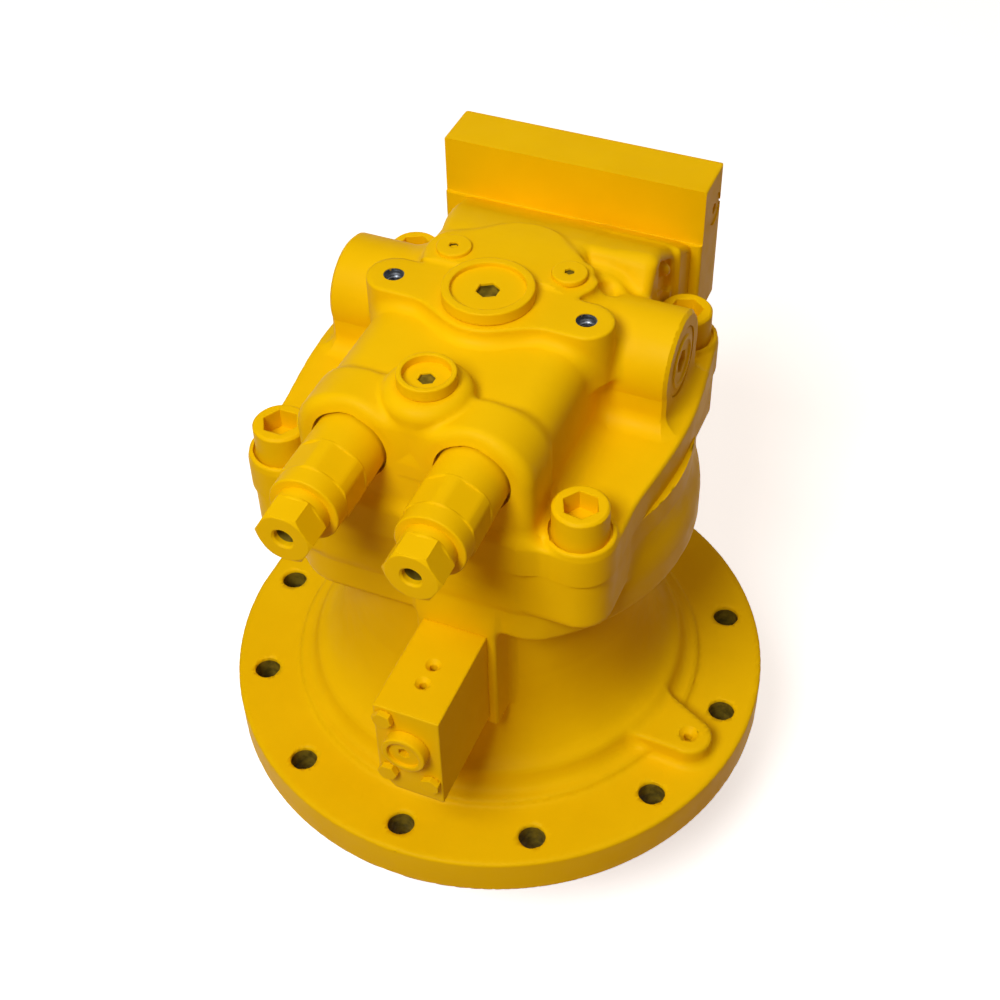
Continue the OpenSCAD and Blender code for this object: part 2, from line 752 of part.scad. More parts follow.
module relief_poppet(side) {
    color(STEEL) valve_place(side) translate([0, 0, poppet_z]) {
        cylinder(r1 = guide_r - 3.5, r2 = guide_r - 1, h = poppet_cone_h, $fn = 48);
        translate([0, 0, poppet_cone_h]) cylinder(r = guide_r - slide_c, h = poppet_guide_h, $fn = 48);
        translate([0, 0, poppet_cone_h + poppet_guide_h]) cylinder(r = guide_r / 2, h = 6, $fn = 32);
    }
}

relief_spring_z = poppet_z + poppet_cone_h + poppet_guide_h + 0.4;
module relief_spring(side) {
    color(STEEL) valve_place(side) translate([0, 0, relief_spring_z])
        coil(guide_r - 2.2, relief_wire_r, sleeve_l - cap_thread_l - 0.2 - relief_spring_z, 7);
}

// Plugs on the top of the cover

module centre_plug() {
    color(PAINT) translate([0, 0, pad_z])
        round_plug(centre_head_r, plug_head_h, 3.5, centre_thread_r - fit_c, centre_thread_l, 10);
}

module gauge_plugs() {
    color(PAINT) both_sides() translate([gauge_x, gauge_y, pad_z])
        difference() {
            union() {
                cylinder(r = gauge_head_r, h = 3.5, $fn = 48);
                translate([0, 0, -gauge_l]) cylinder(r = gauge_thread_r - fit_c, h = gauge_l, $fn = 32);
            }
            translate([0, 0, 0.5]) hexagon(5, 5);
        }
}

module front_plug() {
    color(PAINT) translate([0, -front_plug_y, front_plug_z])
        round_plug(front_plug_r, plug_head_h, 2, front_thread_r - fit_c, front_thread_l, 6);
}

// Check valves in the side bosses

check_head_r = 19;
check_head_t = 2;
check_sink = 3;
check_thread_r = 16;
check_thread_l = 15;
check_guide_r = 12;
check_guide_l = 18;
check_bore_r = 8;
check_seat_x = port_x - passage_r - 3;
check_l = 2 * passage_r + 20;
check_cup = 6;
check_wire_r = 0.9;

module check_place(side) {
    translate([side * check_x, check_y, check_z]) rotate([0, side * 90, 0]) children();
}

module check_plug(side) {
    color(PAINT) check_place(side) difference() {
        union() {
            translate([0, 0, -check_sink]) cylinder(r = check_head_r, h = check_head_t, $fn = 64);
            translate([0, 0, -check_sink - check_thread_l])
                cylinder(r = check_thread_r - fit_c, h = check_thread_l + 1, $fn = 48);
        }
        translate([0, 0, -check_sink - 6]) hexagon(12, 10);
        translate([0, 0, -check_sink - check_thread_l - 1]) cylinder(r = check_bore_r, h = check_cup + 1, $fn = 32);
    }
}

// The poppet seats towards the shaft and opens outwards
module check_poppet(side) {
    color(STEEL) translate([side * check_seat_x, check_y, check_z]) rotate([0, side * 90, 0])
        difference() {
            union() {
                translate([0, 0, 0.1]) cylinder(r1 = 7.5, r2 = 10, h = 3, $fn = 48);
                translate([0, 0, 3]) cylinder(r = 6, h = passage_r * 2, $fn = 48);
                translate([0, 0, check_l - check_guide_l])
                    cylinder(r = check_guide_r - slide_c, h = check_guide_l, $fn = 48);
            }
            translate([0, 0, check_floor]) cylinder(r = check_bore_r, h = far, $fn = 32);
        }
}

check_floor = check_l - 12;
module check_spring(side) {
    from = check_seat_x + check_floor + 0.1;
    color(STEEL) translate([side * from, check_y, check_z]) rotate([0, side * 90, 0])
        coil(check_bore_r - 2.4, check_wire_r, check_x - check_sink - check_thread_l + check_cup - 0.1 - from, 6);
}

// Valve plate, fixed under the cover

module valve_plate() {
    color(BRONZE) translate([0, 0, block_top]) difference() {
        cylinder(r = bore_pitch_r + 13, h = plate_t, $fn = 96);
        translate([0, 0, -1]) cylinder(r = shaft_top_r + 4, h = plate_t + 2, $fn = 64);
        kidneys(-1, plate_t + 2);
    }
}

shaft_top_r = 21;
upper_bearing_r = 26;
upper_bearing_h = 22;
needle_n = 18;

module upper_bearing() {
    needle_r = (upper_bearing_r - 3 - journal_r) / 2;
    color(STEEL) translate([0, 0, part_z + 1]) {
        difference() {
            cylinder(r = upper_bearing_r - fit_c, h = upper_bearing_h, $fn = 64);
            translate([0, 0, -1]) cylinder(r = upper_bearing_r - 3, h = upper_bearing_h - 1, $fn = 64);
            translate([0, 0, -1]) cylinder(r = journal_r - 4, h = upper_bearing_h + 2, $fn = 64);
        }
        for (k = [0:needle_n - 1]) rotate(k * 360 / needle_n)
            translate([journal_r + needle_r, 0, 2])
                cylinder(r = needle_r - slide_c, h = upper_bearing_h - 6, $fn = 24);
    }
}

// Swash plate with a tilted running face

module swash_frame() {
    translate([0, 0, swash_z]) rotate([tilt, 0, 0]) children();
}

module swash_plate() {
    swash_r = cavity_r - 7;
    color(STEEL) difference() {
        translate([0, 0, cavity_z + 0.1]) cylinder(r = swash_r, h = swash_z - cavity_z, $fn = 96);
        swash_frame() translate([-far / 2, -far / 2, -shoe_drop]) cube([far, far, far]);
        translate([0, 0, cavity_z - 1]) cylinder(r = shaft_r + 8, h = far, $fn = 64);
    }
}

// Lower bearing

module bearing_outer() {
    color(STEEL) translate([0, 0, bearing_z + 0.1]) difference() {
        cylinder(r = bearing_r - fit_c, h = bearing_h, $fn = 96);
        translate([0, 0, -1]) cylinder(r = bearing_r - 8, h = bearing_h + 2, $fn = 96);
    }
}

roller_mid = (bearing_r - 8 + shaft_r + 6) / 2;
roller_r = (bearing_r - 8 - shaft_r - 6) / 2 - slide_c;
roller_n = floor(PI * roller_mid / roller_r * 0.92);
module bearing_rollers() {
    color(STEEL) for (k = [0:roller_n - 1]) rotate(k * 360 / roller_n)
        translate([roller_mid, 0, bearing_z + 4])
            cylinder(r = roller_r, h = bearing_h - 8, $fn = 32);
}

module bearing_inner() {
    color(STEEL) translate([0, 0, bearing_z + 0.1]) difference() {
        cylinder(r = shaft_r + 6, h = bearing_h, $fn = 64);
        translate([0, 0, -1]) cylinder(r = shaft_r + fit_c, h = bearing_h + 2, $fn = 64);
    }
}

module shaft_seal() {
    color(RUBBER) translate([0, 0, seal_z + 2]) difference() {
        cylinder(r = seal_r - fit_c, h = seal_h - 3, $fn = 64);
        translate([0, 0, -1]) cylinder(r = shaft_r + slide_c, h = seal_h, $fn = 64);
        translate([0, 0, -1]) difference() {
            cylinder(r = seal_r - 4, h = seal_h - 4, $fn = 64);
            translate([0, 0, -1]) cylinder(r = shaft_r + 3, h = seal_h, $fn = 64);
        }
    }
}

module snap_ring() {
    color(STEEL) translate([0, 0, seal_z + 0.1]) difference() {
        cylinder(r = seal_r + snap_depth - 0.2, h = snap_t - 0.2, $fn = 64);
        translate([0, 0, -1]) cylinder(r = seal_r - 4, h = 4, $fn = 64);
        translate([0, -4, -1]) cube([seal_r + 5, 8, 4]);
    }
}

// Drive shaft with output spline, block spline and upper journal

key_w = 6;
key_h = 2.4;
key_n = 8;
key_z = block_z0 + 20;
key_l = 50;

module spline_teeth(tip_r, n, w, h, from_r) {
    for (k = [0:n - 1]) rotate(k * 360 / n)
        translate([from_r, -w / 2, 0]) cube([tip_r - from_r, w, h]);
}

module drive_shaft() {
    root_r = spline_r - 3;
    tooth_w = PI * spline_r / spline_n;
    spline_l = shaft_out - 14 - spigot_h;
    color(STEEL) {
        translate([0, 0, -shaft_out]) cylinder(r1 = root_r - 2, r2 = root_r, h = 2, $fn = 64);
        translate([0, 0, 2 - shaft_out]) cylinder(r = root_r, h = shaft_out - 2, $fn = 64);
        translate([0, 0, 2 - shaft_out]) spline_teeth(spline_r, spline_n, tooth_w, spline_l, root_r - 3);
        translate([0, 0, -spigot_h - 6]) cylinder(r = shaft_r, h = spigot_h + 6 + cavity_z, $fn = 64);
        translate([0, 0, bearing_z + bearing_h + 0.2]) cylinder(r = shaft_r + 4, h = 6, $fn = 64);
        translate([0, 0, cavity_z]) cylinder(r = shaft_top_r, h = block_top - cavity_z - 2, $fn = 64);
        translate([0, 0, key_z])
            spline_teeth(shaft_top_r + key_h, key_n, key_w, key_l, shaft_top_r - 4);
        translate([0, 0, block_top - 3]) cylinder(r = journal_r, h = plate_t + upper_bearing_h - 1, $fn = 64);
    }
}

// Cylinder block with nine bores, kidney ports and outer splines

tooth_n = 6;
tooth_w = 14;
tooth_h = 3;

module cylinder_block() {
    color(BRONZE) difference() {
        union() {
            translate([0, 0, block_z0]) cylinder(r = block_r - tooth_h, h = block_top - block_z0 - 0.1, $fn = 96);
            for (k = [0:tooth_n - 1]) rotate(k * 360 / tooth_n)
                translate([block_r - tooth_h - 2, -tooth_w / 2, block_z0 + 1])
                    cube([tooth_h + 2, tooth_w, stack_top + 4 - block_z0]);
        }
        for (k = [0:piston_n - 1]) rotate(k * 360 / piston_n) {
            translate([bore_pitch_r, 0, block_z0 - 1])
                cylinder(d = bore_d, h = bore_top - block_z0 + 1, $fn = 48);
            translate([bore_pitch_r, 0, bore_top - 1])
                cylinder(r = kidney_half, h = block_top - bore_top + 2, $fn = 32);
        }
        translate([0, 0, block_z0 - 1])
            cylinder(r = shaft_top_r + slide_c, h = block_top - block_z0 + 2, $fn = 64);
        translate([0, 0, key_z - 0.1])
            spline_teeth(shaft_top_r + key_h + 0.1, key_n, key_w + 0.1, key_l + 0.2, shaft_top_r - 4);
        translate([0, 0, block_z0 - 1])
            cylinder(r = spring_pocket_r, h = spring_pocket_l + 1, $fn = 64);
    }
}

spring_pocket_r = 29;
spring_pocket_l = 19;
block_wire_r = 1.9;
block_spring_r = shaft_top_r + 0.7 + block_wire_r;

module block_spring() {
    low = guide_top + 0.1;
    color(STEEL) translate([0, 0, low])
        coil(block_spring_r, block_wire_r, block_z0 + spring_pocket_l - 0.2 - low, 3);
}

// Spherical guide that presses the retainer plate, centred on the swash centre

guide_sphere_r = 28;
guide_top = swash_z + 12;
guide_low = swash_z - 18;
module retainer_guide() {
    color(STEEL) difference() {
        intersection() {
            translate([0, 0, swash_z]) sphere(r = guide_sphere_r, $fn = 96);
            translate([0, 0, guide_low]) cylinder(r = guide_sphere_r + 1, h = guide_top - guide_low, $fn = 64);
        }
        cylinder(r = shaft_top_r + slide_c, h = far, $fn = 64);
    }
}

plate_low = -shoe_drop + 4.2;
module retainer_plate() {
    color(STEEL) swash_frame() difference() {
        translate([0, 0, plate_low]) cylinder(r = ring_r + foot_r, h = 3, $fn = 96);
        sphere(r = guide_sphere_r + ball_c, $fn = 96);
        for (k = [0:piston_n - 1]) rotate(k * 360 / piston_n)
            translate([ring_r, 0, plate_low - 1]) cylinder(r = socket_r + 0.3, h = 5, $fn = 48);
    }
}

socket_r = ball_r + 2.8;
module shoes() {
    color(BRONZE) swash_frame() for (k = [0:piston_n - 1]) rotate(k * 360 / piston_n)
        translate([ring_r, 0, 0]) difference() {
            union() {
                translate([0, 0, -shoe_drop + 0.1]) cylinder(r = foot_r, h = 4, $fn = 48);
                translate([0, 0, -shoe_drop + 0.1]) cylinder(r = socket_r, h = shoe_drop + 2.4, $fn = 48);
            }
            sphere(r = ball_r + ball_c, $fn = 48);
            translate([0, 0, 1]) cylinder(r1 = ball_r, r2 = ball_r + 1.4, h = 4, $fn = 48);
        }
}

// A piston keeps upright while its ball follows the tilted circle
module piston(k) {
    a = k * 360 / piston_n;
    foot = [ring_r * cos(a), ring_r * sin(a) * cos(tilt), swash_z + ring_r * sin(a) * sin(tilt)];
    color(STEEL) translate(foot) difference() {
        union() {
            sphere(r = ball_r, $fn = 48);
            cylinder(r = ball_r * 0.6, h = neck_h + 1, $fn = 32);
            translate([0, 0, neck_h]) cylinder(r = piston_r, h = piston_len, $fn = 48);
        }
        translate([0, 0, neck_h + 12]) cylinder(r = piston_r - 4, h = piston_len, $fn = 32);
        translate([0, 0, -ball_r - 1]) cylinder(r = 1, h = ball_r + neck_h + 15, $fn = 24);
    }
}

// Brake plates, piston and springs

tab_w = spline_groove_r * 1.4;
tab_l = spline_groove_r * 0.64;
module separator_plates() {
    color(STEEL) for (k = [0:friction_n]) translate([0, 0, plates_z + 0.05 + k * stack_pitch])
        linear_extrude(separator_t) difference() {
            union() {
                circle(r = plate_bore_r - 0.4, $fn = 96);
                // Square tabs that run in the round grooves of the casing
                for (j = [0:spline_groove_n - 1]) rotate(45 + j * 360 / spline_groove_n)
                    translate([plate_bore_r - 4, -tab_w / 2]) square([4 + tab_l, tab_w]);
            }
            circle(r = block_r + 1.5, $fn = 96);
        }
}

module friction_plates() {
    color(LINING) for (k = [0:friction_n - 1])
        translate([0, 0, plates_z + 0.05 + separator_t + plate_gap + k * stack_pitch])
            difference() {
                cylinder(r = plate_bore_r - 1.2, h = friction_t, $fn = 96);
                translate([0, 0, -1]) cylinder(r = block_r - tooth_h + 0.6, h = friction_t + 2, $fn = 96);
                for (j = [0:tooth_n - 1]) rotate(j * 360 / tooth_n)
                    translate([0, -tooth_w / 2 - 0.2, -1])
                        cube([block_r + 0.4, tooth_w + 0.4, friction_t + 2]);
            }
}

spring_pitch_r = plate_bore_r - 6;
spring_wire_r = 1.2;
spring_mean_r = 4.2;
pocket_r = 5.9;
pocket_z = head_z - 4;

module brake_piston() {
    inner_r = block_r + 2;
    color(STEEL) difference() {
        union() {
            translate([0, 0, press_z]) cylinder(r = plate_bore_r - slide_c, h = piston_head_z - press_z + 1, $fn = 96);
            translate([0, 0, piston_head_z]) cylinder(r = head_bore_r - slide_c, h = piston_head_top - piston_head_z, $fn = 96);
        }
        translate([0, 0, press_z - 1]) cylinder(r = inner_r, h = part_z - press_z, $fn = 96);
        for (k = [0:spring_n - 1]) rotate((k + 0.5) * 360 / spring_n)
            translate([spring_pitch_r, 0, pocket_z]) cylinder(r = pocket_r, h = far, $fn = 32);
    }
}

module brake_springs() {
    color(STEEL) for (k = [0:spring_n - 1]) rotate((k + 0.5) * 360 / spring_n)
        translate([spring_pitch_r, 0, pocket_z + 0.1])
            coil(spring_mean_r, spring_wire_r, part_z - pocket_z - 0.2, 5);
}

// Brake valve block with its spool, return spring, plug and bolts

brake_bolt_r = 3;
brake_bolt_x = 12.3;
brake_bolt_z = 23.5;
brake_mid_z = brake_z - brake_h / 2 + 2;
spool_r = 7;
spool_travel = 5;
spool_in = 6.5;
brake_plug_l = 11;
spool_spring_l = 6.5;
spool_l = brake_l - spool_in - brake_plug_l - spool_spring_l - spool_travel;
brake_grip = 12;
brake_bolt_af = 10;

// Three bolts: the fourth corner is free
module brake_bolt_places() {
    for (p = [[-1, 1], [-1, -1], [1, -1]])
        translate([brake_x + p[0] * brake_bolt_x, -brake_y, brake_mid_z + p[1] * brake_bolt_z])
            children();
}

module brake_valve_block() {
    x0 = brake_x - brake_w / 2;
    z0 = brake_z - brake_h;
    color(PAINT) difference() {
        translate([x0, -brake_y - brake_l, z0]) cube([brake_w, brake_l, brake_h]);
        // Corner cut at the lower left of the front face
        translate([x0, -brake_y - brake_l - 1, z0]) rotate([0, 45, 0])
            translate([-9, 0, -9]) cube([18, brake_l + 2, 18]);
        brake_bolt_places() rotate([90, 0, 0]) translate([0, 0, -1])
            cylinder(r = brake_bolt_r + 0.3, h = brake_l + 2, $fn = 24);
        translate([brake_x, -brake_y - brake_l - 1, brake_mid_z]) rotate([-90, 0, 0])
            cylinder(r = spool_r, h = brake_l - 5, $fn = 48);
        translate([brake_x, -brake_y - brake_l - 1, brake_mid_z]) rotate([-90, 0, 0])
            cylinder(r = brake_thread_r, h = brake_plug_l + 2, $fn = 48);
        translate([brake_x, -brake_y + 1, brake_z - 20]) rotate([90, 0, 0])
            cylinder(r = drill_r, h = 18, $fn = 24);
        translate([brake_x, -brake_y - 16, brake_mid_z]) cylinder(r = drill_r, h = brake_z - 18 - brake_mid_z, $fn = 24);
        for (d = [28, 41]) translate([brake_x, -brake_y - d, 0]) {
            translate([0, 0, brake_z - 14]) cylinder(r = gauge_port_r, h = 15, $fn = 24);
            translate([0, 0, brake_z - 1.5]) cylinder(r1 = gauge_port_r, r2 = gauge_port_r + 2, h = 2, $fn = 24);
        }
    }
}

gauge_port_r = 2.1;
brake_thread_r = 10;

module brake_valve_bolts() {
    color(PAINT) brake_bolt_places() translate([0, -brake_l, 0]) rotate([90, 0, 0]) {
        hexagon(brake_bolt_af, 4);
        translate([0, 0, -brake_l - brake_grip])
            cylinder(r = brake_bolt_r, h = brake_l + brake_grip + 1, $fn = 24);
    }
}

module brake_valve_plug() {
    color(PAINT) translate([brake_x, -brake_y - brake_l, brake_mid_z]) rotate([90, 0, 0])
        round_plug(brake_thread_r + 3, 7, 2.2, brake_thread_r - fit_c, brake_plug_l, 6);
}

module brake_valve_spool() {
    color(STEEL) translate([brake_x, -brake_y - spool_in, brake_mid_z]) rotate([90, 0, 0]) difference() {
        cylinder(r = spool_r - slide_c, h = spool_l, $fn = 48);
        for (z = [8, 20]) translate([0, 0, z]) difference() {
            cylinder(r = spool_r + 1, h = 5, $fn = 48);
            translate([0, 0, -1]) cylinder(r = spool_r - 2.5, h = 7, $fn = 48);
        }
    }
}

module brake_valve_spring() {
    color(STEEL) translate([brake_x, -brake_y - spool_in - spool_l - 0.1, brake_mid_z])
        rotate([90, 0, 0]) coil(spool_r - 2, 0.8, spool_travel + spool_spring_l - 0.2, 4);
}

motor_casing();
valve_casing();
cover_bolts();
cover_seal();
dowel_pins();
port_block();
port_block_bolts();
port_block_plugs();
port_block_seals();
brake_valve_block();
brake_valve_bolts();
brake_valve_plug();
brake_valve_spool();
brake_valve_spring();
relief_sleeve(-1);  // relief_sleeve_left
relief_sleeve(1);  // relief_sleeve_right
relief_cap(-1);  // relief_cap_left
relief_cap(1);  // relief_cap_right
relief_poppet(-1);  // relief_poppet_left
relief_poppet(1);  // relief_poppet_right
relief_spring(-1);  // relief_spring_left
relief_spring(1);  // relief_spring_right
centre_plug();
gauge_plugs();
front_plug();
check_plug(-1);  // check_plug_left
check_plug(1);  // check_plug_right
check_poppet(-1);  // check_poppet_left
check_poppet(1);  // check_poppet_right
check_spring(-1);  // check_spring_left
check_spring(1);  // check_spring_right
valve_plate();
swash_plate();
bearing_outer();
bearing_rollers();
bearing_inner();
upper_bearing();
shaft_seal();
snap_ring();
drive_shaft();
cylinder_block();
block_spring();
retainer_guide();
retainer_plate();
shoes();
piston(0);  // piston_1
piston(1);  // piston_2
piston(2);  // piston_3
piston(3);  // piston_4
piston(4);  // piston_5
piston(5);  // piston_6
piston(6);  // piston_7
piston(7);  // piston_8
piston(8);  // piston_9
separator_plates();
friction_plates();
brake_piston();
brake_springs();
spigot_seal();
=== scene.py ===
"""Looks of the swing motor: painted castings with cast fillets, and its plugs, screws and valves."""

import math

import bpy
import numpy as np
from mathutils import Matrix, Vector


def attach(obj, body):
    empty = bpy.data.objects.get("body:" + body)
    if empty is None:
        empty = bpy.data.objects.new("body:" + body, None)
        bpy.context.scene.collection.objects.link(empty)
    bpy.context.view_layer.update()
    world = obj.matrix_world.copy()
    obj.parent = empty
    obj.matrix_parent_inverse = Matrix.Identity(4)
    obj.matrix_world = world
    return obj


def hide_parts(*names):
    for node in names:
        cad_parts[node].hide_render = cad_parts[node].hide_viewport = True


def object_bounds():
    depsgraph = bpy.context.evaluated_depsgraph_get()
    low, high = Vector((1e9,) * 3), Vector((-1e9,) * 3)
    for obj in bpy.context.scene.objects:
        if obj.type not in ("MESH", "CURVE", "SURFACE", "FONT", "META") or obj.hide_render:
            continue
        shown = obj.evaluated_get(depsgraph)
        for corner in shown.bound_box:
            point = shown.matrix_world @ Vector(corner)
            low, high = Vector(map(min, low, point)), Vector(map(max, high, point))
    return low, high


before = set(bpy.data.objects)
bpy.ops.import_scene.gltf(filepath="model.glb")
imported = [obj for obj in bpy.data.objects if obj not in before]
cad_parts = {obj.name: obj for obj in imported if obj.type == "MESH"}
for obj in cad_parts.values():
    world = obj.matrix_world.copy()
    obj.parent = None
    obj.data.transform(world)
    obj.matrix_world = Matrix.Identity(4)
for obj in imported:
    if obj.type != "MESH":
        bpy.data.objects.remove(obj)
cad_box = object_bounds()

# Sizes in millimetres, in the frame of the model
MM = 0.001
FLANGE_R, FLANGE_T, FLANGE_PCD = 165.0, 26.0, 294.0
FLANGE_HOLES, FLANGE_HOLE_R = 12, 7.75
SPIGOT_R, SPIGOT_H = 105.0, 12.0
BODY_R, BULGE_R, BULGE_Z, LUG_Z = 92.0, 117.0, 158.0, 181.0
PART_Z, PLATE_Z, FRONT_Y = 216.0, 235.5, 99.0
BOLT_X, LUG_R, LUG_HALF, RIM_R = 83.0, 18.6, (102.0, 101.0), 112.6
SEAT_Z, HEAD_R, HEAD_H, POCKET_R = 235.5, 14.6, 20.0, 16.2
PAD_Z, MASS_Z, MASS_X = 300.0, 291.5, 61.0
LIFT_X, LIFT_R = 54.0, 5.1
VALVE_X, VALVE_Z, HUMP_R = 33.0, 271.0, 28.0
CHECK_X, CHECK_Y, CHECK_Z, BOSS_R = 97.5, 30.0, 262.8, 27.8
PORT_Y, PORT_T, PORT_W, PORT_TOP, PORT_BOTTOM = 119.0, 35.0, 158.0, 306.0, 218.0
PORT_X, PORT_Z, PORT_R = 38.0, 252.0, 12.5
END_Y, END_Z = 24.0, 282.0
GAUGE_X, GAUGE_Y = 33.0, 31.0
FRONT_PLUG_Y, FRONT_PLUG_Z = 76.0, 302.5
BRAKE_X, BRAKE_Y, BRAKE_Z = 20.0, 102.0, 158.0
BRAKE_W, BRAKE_H, BRAKE_L = 37.0, 67.0, 63.0
BRAKE_FRONT, BRAKE_PLUG_Z = -BRAKE_Y - BRAKE_L, BRAKE_Z - BRAKE_H / 2 + 7
EAR_AT, EAR_TURN, EAR_Z = 141.0, -14.5, 40.0


# Colour and node helpers

def colour(code):
    """An sRGB hex value as linear RGBA."""
    parts = [int(code[i:i + 2], 16) / 255 for i in (1, 3, 5)]
    return [p / 12.92 if p <= 0.04045 else ((p + 0.055) / 1.055) ** 2.4 for p in parts] + [1.0]


def add(tree, kind, links=None, values=None, **settings):
    """Adds one node, sets its properties and its inputs, and links what comes in."""
    node = tree.nodes.new(kind)
    for name, value in settings.items():
        setattr(node, name, value)
    for key, value in (values or {}).items():
        node.inputs[key].default_value = value
    for key, source in (links or {}).items():
        tree.links.new(source, node.inputs[key])
    return node


def new_material(name):
    """An empty node material, its shader, and its Object coordinates."""
    mat = bpy.data.materials.new(name)
    mat.use_nodes = True
    tree = mat.node_tree
    tree.nodes.clear()
    shader = add(tree, "ShaderNodeBsdfPrincipled")
    add(tree, "ShaderNodeOutputMaterial", {"Surface": shader.outputs["BSDF"]})
    place = add(tree, "ShaderNodeTexCoord").outputs["Object"]
    return mat, tree, shader, place


def noise(tree, place, size_mm, detail=2.0, rough=0.5):
    """Noise whose lumps are about size_mm across."""
    return add(tree, "ShaderNodeTexNoise", {"Vector": place},
               {"Scale": 1000.0 / size_mm, "Detail": detail, "Roughness": rough}).outputs["Fac"]


def spread(tree, source, low, high):
    """Maps the middle of a noise to a range of values."""
    return add(tree, "ShaderNodeMapRange", {"Value": source},
               {"From Min": 0.35, "From Max": 0.65, "To Min": low, "To Max": high}).outputs["Result"]


def blend_colours(tree, source, first, second):
    ramp = add(tree, "ShaderNodeValToRGB", {"Fac": source})
    ramp.color_ramp.elements[0].position = 0.36
    ramp.color_ramp.elements[0].color = colour(first)
    ramp.color_ramp.elements[1].position = 0.64
    ramp.color_ramp.elements[1].color = colour(second)
    return ramp.outputs["Color"]


def bump(tree, height, depth_mm, strength=1.0, over=None):
    links = {"Height": height}
    if over is not None:
        links["Normal"] = over
    return add(tree, "ShaderNodeBump", links,
               {"Strength": strength, "Distance": depth_mm * MM}).outputs["Normal"]


def sprayed_enamel(name, grain_mm, grain_depth):
    """Industrial alkyd enamel sprayed over metal: a satin sheen, faint orange peel, and the
    texture of what lies under it, sand-cast skin or a milled face."""
    mat, tree, shader, place = new_material(name)
    tone = blend_colours(tree, noise(tree, place, 55, 3), "#EEBF00", "#F3C502")
    tree.links.new(tone, shader.inputs["Base Color"])
    tree.links.new(spread(tree, noise(tree, place, 9, 3), 0.45, 0.53), shader.inputs["Roughness"])
    shader.inputs["IOR"].default_value = 1.5
    shader.inputs["Specular IOR Level"].default_value = 0.05
    under = bump(tree, noise(tree, place, grain_mm, 3, 0.55), grain_depth)
    peel = bump(tree, noise(tree, place, 1.7, 1), 0.012, 0.8, under)
    tree.links.new(peel, shader.inputs["Normal"])
    return mat


def ground_steel(name):
    """Hardened alloy steel, ground and lightly oiled: fine scratches round the part and a cool grey."""
    mat, tree, shader, place = new_material(name)
    tone = blend_colours(tree, noise(tree, place, 18, 3), "#8C9094", "#A3A7AA")
    tree.links.new(tone, shader.inputs["Base Color"])
    shader.inputs["Metallic"].default_value = 1.0
    tree.links.new(spread(tree, noise(tree, place, 4, 4), 0.22, 0.36), shader.inputs["Roughness"])
    stretch = add(tree, "ShaderNodeMapping", {"Vector": place}, {"Scale": (1.0, 1.0, 14.0)})
    lines = noise(tree, stretch.outputs["Vector"], 7, 2)
    tree.links.new(bump(tree, lines, 0.01, 0.5), shader.inputs["Normal"])
    return mat


def spring_wire(name):
    """Oil-tempered spring wire: dark grey with a satin scale."""
    mat, tree, shader, place = new_material(name)
    tone = blend_colours(tree, noise(tree, place, 3, 3), "#4A4C4F", "#66696C")
    tree.links.new(tone, shader.inputs["Base Color"])
    shader.inputs["Metallic"].default_value = 0.9
    tree.links.new(spread(tree, noise(tree, place, 1.5, 3), 0.35, 0.5), shader.inputs["Roughness"])
    tree.links.new(bump(tree, noise(tree, place, 0.9, 2), 0.01, 0.5), shader.inputs["Normal"])
    return mat


def tapped_iron(name):
    """Bare cut iron inside a tapped hole, darkened by cutting oil."""
    mat, tree, shader, place = new_material(name)
    tone = blend_colours(tree, noise(tree, place, 4, 3), "#4E5156", "#7A7F86")
    tree.links.new(tone, shader.inputs["Base Color"])
    shader.inputs["Metallic"].default_value = 0.85
    tree.links.new(spread(tree, noise(tree, place, 1.2, 2), 0.3, 0.5), shader.inputs["Roughness"])
    tree.links.new(bump(tree, noise(tree, place, 0.8, 2), 0.01, 0.6), shader.inputs["Normal"])
    return mat


def painted_hole_shade(name):
    """Painted shade deep in a drilled hole or socket: a dull dark olive that stands for the shade there."""
    mat, tree, shader, place = new_material(name)
    tone = blend_colours(tree, noise(tree, place, 5, 3), "#5C4E10", "#86721E")
    tree.links.new(tone, shader.inputs["Base Color"])
    shader.inputs["Specular IOR Level"].default_value = 0.1
    tree.links.new(spread(tree, noise(tree, place, 2, 2), 0.6, 0.8), shader.inputs["Roughness"])
    tree.links.new(bump(tree, noise(tree, place, 0.9, 2), 0.02, 0.6), shader.inputs["Normal"])
    return mat


def bearing_bronze(name):
    """Leaded bronze, turned and run in: warm, with dull patches."""
    mat, tree, shader, place = new_material(name)
    tone = blend_colours(tree, noise(tree, place, 12, 3), "#9C7742", "#B8904F")
    tree.links.new(tone, shader.inputs["Base Color"])
    shader.inputs["Metallic"].default_value = 1.0
    tree.links.new(spread(tree, noise(tree, place, 5, 3), 0.28, 0.42), shader.inputs["Roughness"])
    tree.links.new(bump(tree, noise(tree, place, 1.1, 2), 0.01, 0.5), shader.inputs["Normal"])
    return mat


def nitrile_rubber(name):
    """Moulded nitrile rubber: near black with a soft, slightly mottled sheen."""
    mat, tree, shader, place = new_material(name)
    tone = blend_colours(tree, noise(tree, place, 6, 3), "#141414", "#202020")
    tree.links.new(tone, shader.inputs["Base Color"])
    tree.links.new(spread(tree, noise(tree, place, 2, 3), 0.45, 0.6), shader.inputs["Roughness"])
    tree.links.new(bump(tree, noise(tree, place, 0.9, 2), 0.015, 0.5), shader.inputs["Normal"])
    return mat


def sintered_lining(name):
    """Pressed friction lining: brown-grey, grainy and matt."""
    mat, tree, shader, place = new_material(name)
    tone = blend_colours(tree, noise(tree, place, 1.4, 4), "#2E2620", "#5A4A3B")
    tree.links.new(tone, shader.inputs["Base Color"])
    tree.links.new(spread(tree, noise(tree, place, 1.0, 2), 0.7, 0.9), shader.inputs["Roughness"])
    tree.links.new(bump(tree, noise(tree, place, 0.8, 3), 0.05, 0.8), shader.inputs["Normal"])
    return mat


